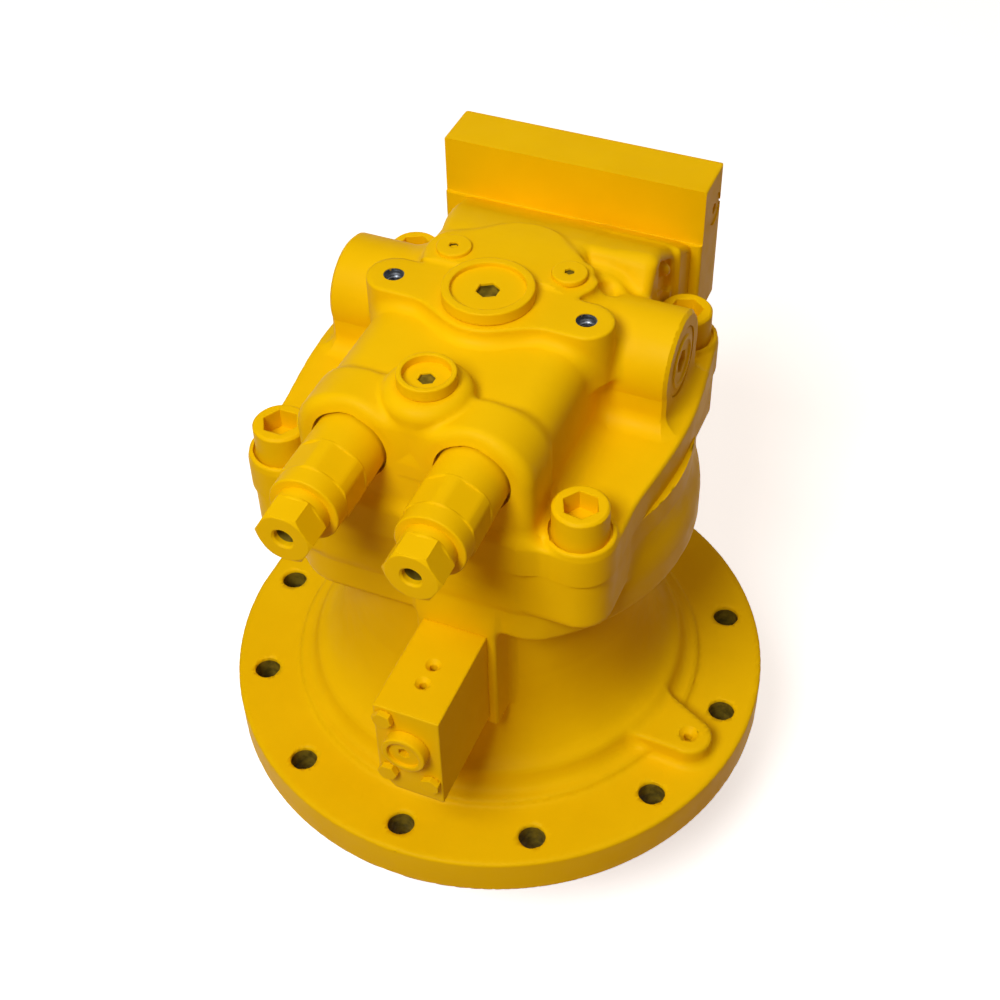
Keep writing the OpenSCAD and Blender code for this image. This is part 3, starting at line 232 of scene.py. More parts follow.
CAST_PAINT = sprayed_enamel("Enamel on sand-cast iron", 4.5, 0.11)
TURNED_PAINT = sprayed_enamel("Enamel on machined steel", 2.4, 0.02)
STEEL = ground_steel("Ground alloy steel")
WIRE = spring_wire("Oil-tempered spring wire")
TAPPED = tapped_iron("Cut iron in a tapped hole")
# Painted shade: a dark olive laid on faces deep in holes and sockets, where shade falls
SHADED = painted_hole_shade("Painted shade in deep holes")
BRONZE = bearing_bronze("Bearing bronze")
RUBBER = nitrile_rubber("Nitrile rubber")
LINING = sintered_lining("Sintered friction lining")


# Solids as signed distances in millimetres: negative inside

def disc(a, b, r):
    return np.sqrt(a * a + b * b) - r


def slab(a, low, high):
    return np.abs(a - (low + high) / 2) - (high - low) / 2


def rounded_rect(a, b, half_a, half_b, r):
    qa, qb = np.abs(a) - half_a + r, np.abs(b) - half_b + r
    return np.hypot(np.maximum(qa, 0), np.maximum(qb, 0)) + np.minimum(np.maximum(qa, qb), 0) - r


def hexagon(a, b, across):
    """A hexagon of this width across its flats, with a corner along b."""
    a, b = np.abs(a), np.abs(b)
    return np.maximum(a, 0.5 * a + 0.8660254 * b) - across / 2


def join(a, b, r=0.0):
    """Union of two solids with a fillet of radius r where they meet."""
    if r <= 0:
        return np.minimum(a, b)
    u, v = np.maximum(r - a, 0), np.maximum(r - b, 0)
    return np.maximum(r, np.minimum(a, b)) - np.hypot(u, v)


def meet(a, b, r=0.0):
    """What two solids share, with the edge between them rounded to radius r."""
    return -join(-a, -b, r)


def cut(a, b, r=0.0):
    """The first solid less the second, with the edge rounded to radius r."""
    return -join(-a, b, r)


def chamfered(round_part, ends, size):
    """A turned end: the meeting of a wall and an end face, with a 45 degree chamfer."""
    return np.maximum(np.maximum(round_part, ends), (round_part + ends + size) * 0.7071)


def tapered_tongue(a, b, near, near_r, far, far_r):
    """A flat tongue between two circles on the a axis."""
    t = np.clip((a - near) / (far - near), 0, 1)
    return np.hypot(a - near - t * (far - near), b) - (near_r + t * (far_r - near_r))


def softened(points, rounds):
    """An open profile with its corners cut again and again into curves."""
    pts = np.array(points, float)
    for _ in range(rounds):
        a, b = pts[:-1], pts[1:]
        mid = np.empty((2 * len(a), 2))
        mid[0::2], mid[1::2] = 0.75 * a + 0.25 * b, 0.25 * a + 0.75 * b
        pts = np.vstack([pts[:1], mid, pts[-1:]])
    return pts


def profile_distance(points, step=0.5):
    pts = np.asarray(points, float)
    r = np.arange(0, pts[:, 0].max() + 12, step)
    z = np.arange(pts[:, 1].min() - 12, pts[:, 1].max() + 12, step)
    gr, gz = np.meshgrid(r, z, indexing="ij")
    best = np.full(gr.shape, 1e9)
    inside = np.zeros(gr.shape, bool)
    for (r0, z0), (r1, z1) in zip(pts, np.roll(pts, -1, axis=0)):
        dr, dz = r1 - r0, z1 - z0
        size = dr * dr + dz * dz
        if size > 0 and not (r0 == 0 and r1 == 0):
            t = np.clip(((gr - r0) * dr + (gz - z0) * dz) / size, 0, 1)
            best = np.minimum(best, np.hypot(gr - r0 - t * dr, gz - z0 - t * dz))
        if z0 != z1:
            crosses = ((z0 > gz) != (z1 > gz)) & (gr < dr * (gz - z0) / dz + r0)
            inside ^= crosses
    table = np.where(inside, -best, best)

    def look_up(radius, height):
        u = np.clip(radius / step, 0, len(r) - 1.001)
        v = np.clip((height - z[0]) / step, 0, len(z) - 1.001)
        i, j = u.astype(int), v.astype(int)
        u, v = u - i, v - j
        return (table[i, j] * (1 - u) * (1 - v) + table[i + 1, j] * u * (1 - v)
                + table[i, j + 1] * (1 - u) * v + table[i + 1, j + 1] * u * v)
    return look_up


def surface(solid, low, high, step):
    """Dual contouring of a signed distance: quads whose corners lie on the solid's edges and
    faces, so that machined edges stay crisp and cast fillets stay round. Returns metres."""
    low = np.array(low, float) + 0.013
    axes = [np.arange(low[k], high[k] + step, step) for k in range(3)]
    grid = np.meshgrid(*axes, indexing="ij", sparse=True)
    value = np.broadcast_to(solid(*grid), [len(a) for a in axes])
    shape = np.array(value.shape)
    sign = value < 0
    strides = np.array([shape[1] * shape[2], shape[2], 1])

    points, cells, flips = [], [], []
    for axis in range(3):
        here = [slice(None)] * 3
        there = [slice(None)] * 3
        here[axis], there[axis] = slice(0, -1), slice(1, None)
        found = np.argwhere(sign[tuple(here)] != sign[tuple(there)])
        others = [k for k in range(3) if k != axis]
        found = found[(found[:, others[0]] > 0) & (found[:, others[1]] > 0)]
        start = found.copy()
        finish = found.copy()
        finish[:, axis] += 1
        f0, f1 = value[tuple(start.T)], value[tuple(finish.T)]
        a = np.stack([axes[k][start[:, k]] for k in range(3)], 1)
        lo_t, hi_t = np.zeros(len(a)), np.ones(len(a))
        lo_f, hi_f = f0.copy(), f1.copy()
        for turn in range(5):
            t = lo_t + (hi_t - lo_t) * (lo_f / (lo_f - hi_f) if turn < 3 else 0.5)
            p = a.copy()
            p[:, axis] += t * step
            f = solid(p[:, 0], p[:, 1], p[:, 2])
            same = (f < 0) == (lo_f < 0)
            lo_t, lo_f = np.where(same, t, lo_t), np.where(same, f, lo_f)
            hi_t, hi_f = np.where(same, hi_t, t), np.where(same, hi_f, f)
        a[:, axis] += (lo_t + hi_t) / 2 * step
        back = np.zeros((4, 3), int)
        back[1, others[0]] = back[2, others[0]] = -1
        back[2, others[1]] = back[3, others[1]] = -1
        corner = start[:, None, :] + back[None]
        cells.append((corner * strides).sum(2))
        points.append(a)
        flips.append((f0 < 0) == (axis == 1))

    point = np.concatenate(points)
    cell = np.concatenate(cells)
    flip = np.concatenate(flips)
    eps = 0.02
    normal = np.stack([solid(*(point + eps * d).T) - solid(*(point - eps * d).T)
                       for d in np.eye(3)], 1)
    normal /= np.linalg.norm(normal, axis=1, keepdims=True) + 1e-12

    names, index = np.unique(cell, return_inverse=True)
    index = index.reshape(cell.shape)
    owner = index.ravel()
    pt, nm = np.repeat(point, 4, axis=0), np.repeat(normal, 4, axis=0)
    count = np.bincount(owner)
    total = len(names)
    mean = np.stack([np.bincount(owner, pt[:, k]) for k in range(3)], 1) / count[:, None]
    offset = ((pt - mean[owner]) * nm).sum(1)
    ata = np.empty((total, 3, 3))
    atb = np.empty((total, 3))
    for i in range(3):
        atb[:, i] = np.bincount(owner, nm[:, i] * offset)
        for j in range(3):
            ata[:, i, j] = np.bincount(owner, nm[:, i] * nm[:, j])
    ata += np.eye(3) * 0.02
    corner = mean + np.linalg.solve(ata, atb[:, :, None])[:, :, 0]
    origin = np.stack([axes[k][(names // strides[k]) % shape[k]] for k in range(3)], 1)
    corner = np.clip(corner, origin - 0.1 * step, origin + 1.1 * step)

    quads = np.where(flip[:, None], index[:, ::-1], index)
    return corner * MM, quads


def corner_normals(solid, verts, quads):
    """The solid's own normal at every face corner, taken a little inside the face."""
    middle = verts[quads].mean(1, keepdims=True)
    near = ((verts[quads] * 0.8 + middle * 0.2) / MM).reshape(-1, 3)
    eps = 0.05
    normal = np.stack([solid(*(near + eps * d).T) - solid(*(near - eps * d).T) for d in np.eye(3)], 1)
    return normal / (np.linalg.norm(normal, axis=1, keepdims=True) + 1e-12)


def mesh_object(name, verts, faces, mat, smooth_below=38):
    """A shaded mesh object at the origin, with edges sharper than the angle kept crisp."""
    mesh = bpy.data.meshes.new(name)
    mesh.from_pydata(verts.tolist(), [], [list(f) for f in faces])
    mesh.validate()
    mesh.polygons.foreach_set("use_smooth", np.ones(len(mesh.polygons), bool))
    mesh.set_sharp_from_angle(angle=math.radians(smooth_below))
    mesh.materials.append(mat)
    obj = bpy.data.objects.new(name, mesh)
    bpy.context.scene.collection.objects.link(obj)
    return obj


def lay_painted_shade(obj, inside):
    """Gives painted shade to the faces whose middles are inside(), deep in a hole."""
    middle = np.empty(len(obj.data.polygons) * 3, np.float32)
    obj.data.polygons.foreach_get("center", middle)
    picked = inside(*(middle.reshape(-1, 3).T / MM))
    obj.data.materials.append(SHADED)
    obj.data.polygons.foreach_set("material_index", picked.astype(np.int32))


def solid_object(name, solid, low, high, step, mat, smooth_below=38, shade_faces=None):
    """Meshes a solid, and gives painted shade to the faces picked by the last argument."""
    verts, faces = surface(solid, low, high, step)
    obj = mesh_object(name, verts, faces.tolist(), mat, smooth_below)
    if shade_faces is not None:
        lay_painted_shade(obj, shade_faces)
    if len(obj.data.loops) == faces.size:
        obj.data.normals_split_custom_set(corner_normals(solid, verts, faces))
    return obj


def fit(piece, body, slot, *nodes):
    """Says what a finished piece rides on and hides the nodes it stands for; slot, its material slot, is not
    used.
    """
    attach(piece, body)
    if nodes:
        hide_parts(*nodes)
    return piece


# Castings

def lug_outline(x, y):
    return rounded_rect(x, y, *LUG_HALF, LUG_R)


def casing_outline(x, y):
    """The casing's joint face: a round rim and four lugs."""
    return join(meet(disc(x, y, RIM_R), np.abs(y) - FRONT_Y), lug_outline(x, y), 3) + 0.9


def cover_outline(x, y):
    """The cover's plate, flatter at its sides than the casing's rim."""
    sides = meet(disc(np.abs(x) + 42.5, y - 15, 150), np.abs(y) - FRONT_Y)
    return join(sides, lug_outline(x, y), 12)


HUB = softened([(139, 25.0), (126.5, 26.5), (125.5, 30.5), (119, 31.5), (115.5, 36), (113.5, 43),
                (108.5, 45.5), (104, 50), (99, 59), (95.5, 70), (93, 84), (92, 100)], 2)
HUB_PROFILE = profile_distance(np.vstack([[(0, 20), (139, 20)], HUB, [(BODY_R, LUG_Z + 6), (0, LUG_Z + 6)]]))
CAVITY = profile_distance([(0, -20), (40.5, -20), (40.5, -9.5), (37.5, -9.5), (37.5, 2), (31, 4), (31, 12),
                           (47, 14), (55, 14), (55, 46), (75, 46), (75, 118), (82, 118), (82, 176),
                           (89, 176), (89, 225), (0, 225)])


def flange_hole(x, y):
    """The nearest hole of the ring of holes in the flange."""
    r, turn = np.hypot(x, y), 2 * math.pi / FLANGE_HOLES
    angle = (np.arctan2(y, x) + turn / 2) % turn - turn / 2
    return np.hypot(r * np.cos(angle) - FLANGE_PCD / 2, r * np.sin(angle)) - FLANGE_HOLE_R


def casing_solid(x, y, z):
    """Flange, hub, body, side bulges, lugs, drain ear and the pad of the brake valve."""
    r = np.hypot(x, y)
    flange = meet(r - FLANGE_R, slab(z, 0, FLANGE_T), 2.2)
    body = join(flange, HUB_PROFILE(r, z), 1.2)

    turn = math.radians(EAR_TURN)
    along = x * math.cos(turn) + y * math.sin(turn)
    across = y * math.cos(turn) - x * math.sin(turn)
    ear = meet(tapered_tongue(along, across, BODY_R + 3, 24, EAR_AT, 13.5), z - EAR_Z, 2.0)
    body = join(body, np.maximum(ear, 10 - z), 5.0)

    # Bulges on the two sides, with the turned ledge on their upper edge
    bulge = meet(r - BULGE_R, BULGE_Z - z, 5.0)
    ledge = (r - BULGE_R) * 0.92 + (z - 183) * 0.392
    bulge = meet(bulge, ledge, 3.0)
    bulge = meet(np.maximum(bulge, z - 198), np.abs(y) - FRONT_Y - 0.5, 6.0)
    lugs = meet(casing_outline(x, y), LUG_Z - z, 5.0)
    upper = np.maximum(join(bulge, lugs, 3.0), z - PART_Z)
    body = join(body, upper, 7.0)

    pad_half = BRAKE_W / 2 + 4.5
    pad = meet(np.abs(x - BRAKE_X) - pad_half, -BRAKE_Y - y, 2.0)
    pad = np.maximum(pad, y + 60)
    roof = (z - BRAKE_Z - 8) * 0.22 + (-BRAKE_Y - y) * 0.975
    pad = meet(pad, roof, 1.5)
    pad = meet(pad, slab(z, BRAKE_Z - BRAKE_H - 8, LUG_Z + 4), 2.5)
    body = join(body, pad, 4.0)

    spigot = chamfered(r - SPIGOT_R, -SPIGOT_H - z, 1.5)
    body = join(body, np.maximum(spigot, z - 3))
    groove = np.maximum(SPIGOT_R - 3 - r, slab(z, -9, -5))
    body = np.maximum(body, -groove)
    body = np.maximum(body, -CAVITY(r, z))

    # Bolt holes through the flange, each slightly countersunk at the top
    hole = flange_hole(x, y)
    hole = np.where(r > FLANGE_PCD / 2 - 30, hole, 50.0)
    hole = np.minimum(np.maximum(hole, z - FLANGE_T - 9), hole + (FLANGE_T - 0.9 - z))
    body = np.maximum(body, -np.maximum(hole, z - FLANGE_T - 9))

    port = np.hypot(along - EAR_AT, across)
    body = np.maximum(body, -np.maximum(port - 2.6, EAR_Z - 14 - z))
    sink = np.maximum(((port - 2.6) + (EAR_Z - 3.2 - z)) * 0.7071, z - EAR_Z - 2)
    return np.maximum(body, -sink)


def pad_outline(x, y):
    """Machined pad on top of the cover, seen from above."""
    lobes = tapered_tongue(x, y, -LIFT_X, 14.7, LIFT_X, 14.7)
    pad = join(lobes, disc(x, y, 28.5), 12)
    pad = join(pad, disc(np.abs(x) - GAUGE_X, y - GAUGE_Y, 15.5), 8)
    return join(pad, disc(x, y - 44, 25), 16)


def neck_solid(x, y, z):
    """Neck that falls from the pad to the joint face: it slopes out on the left, and on the
    right it is broad, with a hollow in its side and a flange at the joint."""
    top = np.minimum(299.7, 299.7 - (y - 69) * 0.57)
    roof = meet(z - 299.7, (z - 299.7) * 0.8688 + (y - 69) * 0.4952, 8.0)
    left = (-x - np.interp(y, [20, 50, 72, 95, 119], [48, 50, 54, 61, 68])
            - np.clip(top - 6 - z, 0, 34) * 0.3) * 0.95
    left = np.maximum(left, -x - 72)
    back = np.maximum(20 - y, y - PORT_Y)
    left_part = np.maximum(meet(np.maximum(left, x - 34), roof, 7.0), back)
    lean = np.interp(x, [46, 66], [0.15, 0.7])
    front = ((57 - y) + (z - 289) * lean) / np.hypot(1, lean)
    right_part = meet(meet(np.maximum(x - 70, -x), front, 6.0), roof, 7.0)
    hollow = meet(rounded_rect(y - 82, z - top + 18, 12.5, 11, 4), 66 - x, 2.0)
    knob = np.sqrt((x - 66) ** 2 + (y - 86) ** 2 + (z - top + 14) ** 2) - 5
    right_part = join(cut(right_part, hollow, 2.0), knob, 2.0)
    flange = meet(meet(x - 73, 98 - y, 2.0), roof, 4.0)
    right_part = np.maximum(join(right_part, np.maximum(flange, 20 - x), 3.0), y - PORT_Y)
    neck = join(left_part, right_part, 2.0)
    return meet(neck, 219 - z, 2.0)


def cover_solid(x, y, z):
    """Valve casing: base plate, humps over the valves, pad, side bosses and rear neck."""
    side = np.abs(x)
    plate = meet(cover_outline(x, y), z - PLATE_Z, 2.5)
    corner = disc(side - BOLT_X, np.abs(y) - BOLT_X, 0)
    plate = join(plate, meet(corner - LUG_R + 0.1, z - PLATE_Z - 2.5, 1.3), 2.0)

    # Block over the valve bores with round shoulders, and a hump over each bore
    mass = meet(side - MASS_X, z - MASS_Z, 19.0)
    mass = meet(mass, slab(y, -FRONT_Y + 1, 58), 4.0)
    hump = join(disc(side - VALVE_X, z - VALVE_Z, HUMP_R), np.maximum(side - MASS_X, z - VALVE_Z))
    hump = meet(hump, slab(y, -FRONT_Y + 1, -72), 4.0)
    mass = join(mass, hump, 9.0)

    pad = meet(pad_outline(x, y), slab(z, MASS_Z - 26, PAD_Z), 1.5)
    mass = join(mass, pad, 6.0)

    # Round boss of the front plug, with a thick soft edge, flush with the front wall
    front = meet(disc(x, y + FRONT_PLUG_Y, 23.3), z - FRONT_PLUG_Z, 7.0)
    mass = join(mass, np.maximum(front, 262 - z), 3.0)

    boss = disc(y - CHECK_Y, z - CHECK_Z, BOSS_R)
    web = np.maximum(slab(y, CHECK_Y - BOSS_R + 1, CHECK_Y + BOSS_R - 1), z - CHECK_Z)
    boss = join(boss, web)
    boss = chamfered(boss, side - CHECK_X, 2.0)
    mass = join(mass, boss, 7.0)
    mass = join(mass, neck_solid(x, y, z), 5.0)
    hollow = meet(disc(x - 51, y - 42, 6.5), 285 - z, 4.0)
    mass = cut(mass, hollow, 4.0)

    solid = join(mass, plate, 10.0)
    solid = np.maximum(solid, PART_Z - z)
    solid = meet(solid, y - PORT_Y, 0.3)

    # Machined seats and bores
    holes = [np.maximum(disc(side - VALVE_X, z - VALVE_Z, 20.5), y + FRONT_Y - 4),
             np.maximum(disc(side - VALVE_X, z - VALVE_Z, 15), y + 54),
             np.maximum(corner - 10.7, z - 260),
             np.maximum(corner - POCKET_R, slab(z, SEAT_Z, 269)),
             np.maximum(disc(side - LIFT_X, y, LIFT_R + 0.4), PAD_Z - 24 - z),
             np.maximum(disc(y - CHECK_Y, z - CHECK_Z, 19.5), CHECK_X - 3 - side),
             np.maximum(disc(y - CHECK_Y, z - CHECK_Z, 16), CHECK_X - 19 - side),
             np.maximum(disc(x, y, 20), PAD_Z - 30 - z),
             np.maximum(disc(x, y + FRONT_PLUG_Y, 10), PAD_Z - 21 - z),
             np.maximum(disc(side - PORT_X, z - PORT_Z, 11), slab(y, 4, 130))]
    for hole in holes:
        solid = np.maximum(solid, -hole)
    return solid


def in_flange_hole(x, y, z):
    return (flange_hole(x, y) < 0.4) & (z > 1) & (z < FLANGE_T - 2.2)


# Painted shade on the walls of the flange's bolt holes
casing = solid_object("casing_casting", casing_solid, (-167, -167, -14), (167, 167, 219), 2.25, CAST_PAINT,
                      shade_faces=in_flange_hole)
fit(casing, "casing", "paint", "motor_casing")
cover = solid_object("cover_casting", cover_solid, (-116, -105, 212.4), (116, 122, 306), 1.6, CAST_PAINT)
fit(cover, "casing", "paint", "valve_casing")


# Blocks

def port_block_solid(x, y, z):
    """Forged block with a milled step on its front face and a plugged port at each end."""
    side = np.abs(x)
    body = meet(side - PORT_W / 2, slab(y, PORT_Y, PORT_Y + PORT_T), 2.4)
    body = meet(body, slab(z, PORT_BOTTOM, PORT_TOP), 1.0)
    step = np.maximum(y - PORT_Y - 2.5, PORT_TOP - 35 - z)
    body = np.maximum(body, -step)
    end = disc(y - PORT_Y - END_Y, z - END_Z, 9.5)
    body = np.maximum(body, -np.maximum(end, PORT_W / 2 - 3.5 - side))
    body = np.maximum(body, -chamfered(disc(side - PORT_X, z - PORT_Z, PORT_R), PORT_Y - 5 - y, 0.1))
    taps = disc(np.abs(side - PORT_X) - 13.1, np.abs(z - PORT_Z) - 26.2, 4.25)
    body = np.maximum(body, -np.maximum(taps, PORT_Y + PORT_T - 18 - y))
    makeup = np.maximum(disc(x, z - PORT_Z, 8), PORT_Y + PORT_T - 16 - y)
    body = np.maximum(body, -np.minimum(makeup, disc(x, z - PORT_Z, 7)))
    screws = disc(side - 64, np.abs(z - PORT_Z + 9) - 15, 8.7)
    return np.maximum(body, -np.maximum(screws, PORT_Y + PORT_T - 12 - y))


def brake_block_solid(x, y, z):
    """Milled valve block with a chamfered lower corner and two gauge ports on top."""
    u, w = x - BRAKE_X, z - BRAKE_Z
    body = meet(np.abs(u) - BRAKE_W / 2, slab(w, -BRAKE_H, 0), 0.7)
    body = meet(body, slab(y, BRAKE_FRONT, -BRAKE_Y), 0.7)
    corner = (-u - BRAKE_W / 2 - w - BRAKE_H + 9) * 0.7071
    body = meet(body, corner, 0.7)
    body = np.maximum(body, -np.maximum(disc(u, z - BRAKE_PLUG_Z, 10), y - BRAKE_FRONT - 12))
    for back in (28, 41):
        port = np.hypot(u, y + BRAKE_Y + back)
        body = np.maximum(body, -np.maximum(port - 2.1, -14 - w))
        body = np.maximum(body, -((port - 2.1) + (-2.2 - w)) * 0.7071)
    return body


port_block = solid_object("port_block_body", port_block_solid, (-82, 116, 215), (82, 157, 309), 1.3,
                          TURNED_PAINT)
fit(port_block, "casing", "paint", "port_block")
brake_block = solid_object("brake_block_body", brake_block_solid, (-1, -168, 88), (41, -100, 161), 0.9,
                           TURNED_PAINT)
fit(brake_block, "casing", "paint", "brake_valve_block")


# Relief valves

def sleeve_solid(x, y, z, centre):
    """Round bar with six milled flats, a plain collar and a deep tapped mouth."""
    out = -y - FRONT_Y
    u, w = x - centre, z - VALVE_Z
    r = np.hypot(u, w)
    bar = meet(r - 19, slab(out, -2.9, 21), 0.5)
    flats = meet(hexagon(u, w, 36), r - 19.3, 0.4)
    flats = meet(flats, slab(out, 20, 40), 0.4)
    collar = meet(r - 18.4, slab(out, 39, 50), 0.8)
    body = join(join(bar, flats, 0.5), collar, 0.5)
    body = join(body, np.maximum(r - 14.9, slab(out, -30, 2)))
    return np.maximum(body, -np.maximum(r - 12, 38 - out))


def cap_solid(x, y, z, centre):
    """Adjuster cap: a turned neck, a hexagon chamfered at both ends and a countersunk mouth."""
    out = -y - FRONT_Y - 50
    u, w = x - centre, z - VALVE_Z
    r = np.hypot(u, w)
    neck = meet(r - 14, slab(out, -3, 7), 0.4)
    head = meet(hexagon(w, u, 27), slab(out, 5.5, 21), 0.4)
    head = np.maximum(head, (r - 13.4 + (out - 21) * 1.7) * 0.507)
    head = np.maximum(head, (r - 13.6 + (5.5 - out) * 1.7) * 0.507)
    body = join(neck, head, 0.5)
    body = join(body, np.maximum(r - 11.9, slab(out, -11, 0)))
    body = np.maximum(body, -np.maximum(r - 5, 10 - out))
    body = np.maximum(body, -((r - 5) + (20 - out)) * 0.7071)
    return np.maximum(body, -np.maximum(hexagon(u, w, 6), slab(out, 5, 11)))


def relief_valve(side, word):
    x = side * VALVE_X
    low = (x - 22, -FRONT_Y - 52, VALVE_Z - 22)
    sleeve = solid_object(f"relief_sleeve_{word}_bar", lambda a, b, c: sleeve_solid(a, b, c, x),
                          low, (x + 22, -FRONT_Y + 31, VALVE_Z + 22), 0.7, TURNED_PAINT, 30)
    fit(sleeve, "casing", "paint", f"relief_sleeve_{word}")
    # Painted shade inside the cap's countersunk mouth
    cap = solid_object(f"relief_cap_{word}_hex", lambda a, b, c: cap_solid(a, b, c, x),
                       (x - 17, -FRONT_Y - 72.5, VALVE_Z - 17), (x + 17, -FRONT_Y - 38, VALVE_Z + 17),
                       0.55, TURNED_PAINT, 30,
                       lambda a, b, c: (disc(a - x, c - VALVE_Z, 5.2) < 0) & (b > -FRONT_Y - 67.5))
    fit(cap, "casing", "paint", f"relief_cap_{word}")


relief_valve(-1, "left")
relief_valve(1, "right")


# Plugs

def plug_solid(u, v, w, head_r, head_h, rim, recess, across, thread_r, depth):
    """Ring-headed plug: raised rim, recessed face and a hexagon socket. w is up, 0 at the seat."""
    r = np.hypot(u, v)
    head = meet(r - head_r, slab(w, 0, head_h), 0.8)
    head = cut(head, np.maximum(r - head_r + rim, head_h - recess - w), 0.5)
    socket = np.maximum(hexagon(u, v, across), head_h - recess - across * 1.1 - w)
    head = cut(head, socket, 0.25)
    return join(head, meet(r - thread_r, slab(w, -depth, 1), 0.5), 0.2)


def top_plug(name, x0, y0, z0, sizes, step, node):
    head_r, head_h = sizes[0], sizes[1]
    depth = sizes[-1]
    socket_top, socket_r = z0 + head_h - sizes[3] - 1.2, sizes[4] * 0.6
    # Painted shade deep in the socket
    piece = solid_object(name, lambda a, b, c: plug_solid(a - x0, b - y0, c - z0, *sizes),
                         (x0 - head_r - 2, y0 - head_r - 2, z0 - depth - 2),
                         (x0 + head_r + 2, y0 + head_r + 2, z0 + head_h + 1.5), step, TURNED_PAINT,
                         shade_faces=lambda a, b, c: (np.hypot(a - x0, b - y0) < socket_r) & (c < socket_top))
    return fit(piece, "casing", "paint", node)


top_plug("centre_plug_ring", 0, 0, PAD_Z, (24.4, 7.2, 4.5, 2.8, 11.5, 19.9, 18), 0.8, "centre_plug")
top_plug("front_plug_ring", 0, -FRONT_PLUG_Y, FRONT_PLUG_Z, (15, 7, 2.8, 4.5, 8, 9.9, 16), 0.6, "front_plug")


def brake_plug_solid(x, y, z):
    return plug_solid(x - BRAKE_X, z - BRAKE_PLUG_Z, BRAKE_FRONT - y, 12.3, 7, 3.2, 2, 6, 9.9, 10)


brake_plug = solid_object("brake_plug_ring", brake_plug_solid, (5, -174, 116), (35, -152, 147), 0.6,
                          TURNED_PAINT)
fit(brake_plug, "casing", "paint", "brake_valve_plug")


def check_plug_solid(x, y, z, side):
    """Sunk plug with a raised ring inside its seat and a hexagon socket."""
    out = side * x - CHECK_X
    u, v = y - CHECK_Y, z - CHECK_Z
    r = np.hypot(u, v)
    head = meet(r - 19, slab(out, -3, -0.6), 0.6)
    ring = meet(np.abs(r - 13.5) - 1.4, slab(out, -2, 0.4), 0.5)
    head = join(head, ring, 0.5)
    head = join(head, meet(r - 15.9, slab(out, -17, -1), 0.5))
    return cut(head, np.maximum(hexagon(u, v, 12), -9 - out), 0.3)


for sign, word in ((-1, "left"), (1, "right")):
    near = sorted((sign * (CHECK_X - 19), sign * (CHECK_X + 2)))
    plug = solid_object(f"check_plug_{word}_ring", lambda a, b, c: check_plug_solid(a, b, c, sign),
                        (near[0], CHECK_Y - 21, CHECK_Z - 21), (near[1], CHECK_Y + 21, CHECK_Z + 21),
                        0.8, TURNED_PAINT)
    fit(plug, "casing", "paint", f"check_plug_{word}")


# What repeats is made once and placed by Geometry Nodes

def node_tree(name, inputs):
    """An empty Geometry Nodes tree with named inputs and one geometry output."""
    tree = bpy.data.node_groups.new(name, "GeometryNodeTree")
    for label, kind, value in inputs:
        socket = tree.interface.new_socket(label, in_out="INPUT", socket_type=kind)
        if value is not None:
            socket.default_value = value
    tree.interface.new_socket("Geometry", in_out="OUTPUT", socket_type="NodeSocketGeometry")
    return tree, tree.nodes.new("NodeGroupInput")


def finish_tree(tree, geometry):
    """Realizes the instances, sets the material and links the output."""
    entry = next(n for n in tree.nodes if n.bl_idname == "NodeGroupInput")
    real = add(tree, "GeometryNodeRealizeInstances", {"Geometry": geometry})
    dressed = add(tree, "GeometryNodeSetMaterial",
                  {"Geometry": real.outputs[0], "Material": entry.outputs["Material"]})
    tree.links.new(dressed.outputs[0], tree.nodes.new("NodeGroupOutput").inputs[0])


def grow(name, tree, values, smooth_below=38):
    """Runs a tree with these input values and returns its result as a plain mesh object."""
    mesh = bpy.data.meshes.new(name)
    obj = bpy.data.objects.new(name, mesh)
    bpy.context.scene.collection.objects.link(obj)
    modifier = obj.modifiers.new("grow", "NODES")
    modifier.node_group = tree
    for item in tree.interface.items_tree:
        if item.in_out == "INPUT" and item.name in values:
            modifier[item.identifier] = values[item.name]
    graph = bpy.context.evaluated_depsgraph_get()
    result = bpy.data.meshes.new_from_object(obj.evaluated_get(graph), preserve_all_data_layers=True,
                                             depsgraph=graph)
    obj.modifiers.clear()
    obj.data = result
    result.polygons.foreach_set("use_smooth", np.ones(len(result.polygons), bool))
    result.set_sharp_from_angle(angle=math.radians(smooth_below))
    return obj


def rectangle_tree():
    """Copies of one object at the corners of a rectangle, turned to face any way."""
    tree, entry = node_tree("Fasteners at four corners", [
        ("Fastener", "NodeSocketObject", None), ("Width", "NodeSocketFloat", 0.1),
        ("Height", "NodeSocketFloat", 0.1), ("Centre", "NodeSocketVector", None),
        ("Tilt", "NodeSocketVector", None), ("Turn", "NodeSocketVector", None),
        ("Free corner", "NodeSocketInt", -1),
        ("Material", "NodeSocketMaterial", None)])
    grid = add(tree, "GeometryNodeMeshGrid",
               {"Size X": entry.outputs["Width"], "Size Y": entry.outputs["Height"]},
               {"Vertices X": 2, "Vertices Y": 2})
    single = add(tree, "GeometryNodeMergeByDistance", {"Geometry": grid.outputs["Mesh"]})
    index = add(tree, "GeometryNodeInputIndex")
    same = add(tree, "FunctionNodeCompare", data_type="INT", operation="EQUAL")
    tree.links.new(index.outputs[0], same.inputs[2])
    tree.links.new(entry.outputs["Free corner"], same.inputs[3])
    kept = add(tree, "GeometryNodeDeleteGeometry", {"Geometry": single.outputs[0],
                                                    "Selection": same.outputs[0]}, domain="POINT")
    placed = add(tree, "GeometryNodeTransform", {"Geometry": kept.outputs[0],
                                                 "Translation": entry.outputs["Centre"],
                                                 "Rotation": entry.outputs["Tilt"]})
    item = add(tree, "GeometryNodeObjectInfo", {"Object": entry.outputs["Fastener"]})
    turned = add(tree, "ShaderNodeVectorMath", {0: entry.outputs["Turn"], "Scale": index.outputs[0]},
                 operation="SCALE")
    copies = add(tree, "GeometryNodeInstanceOnPoints", {"Points": placed.outputs[0],
                                                        "Instance": item.outputs["Geometry"],
                                                        "Rotation": turned.outputs[0]})
    finish_tree(tree, copies.outputs[0])
    return tree


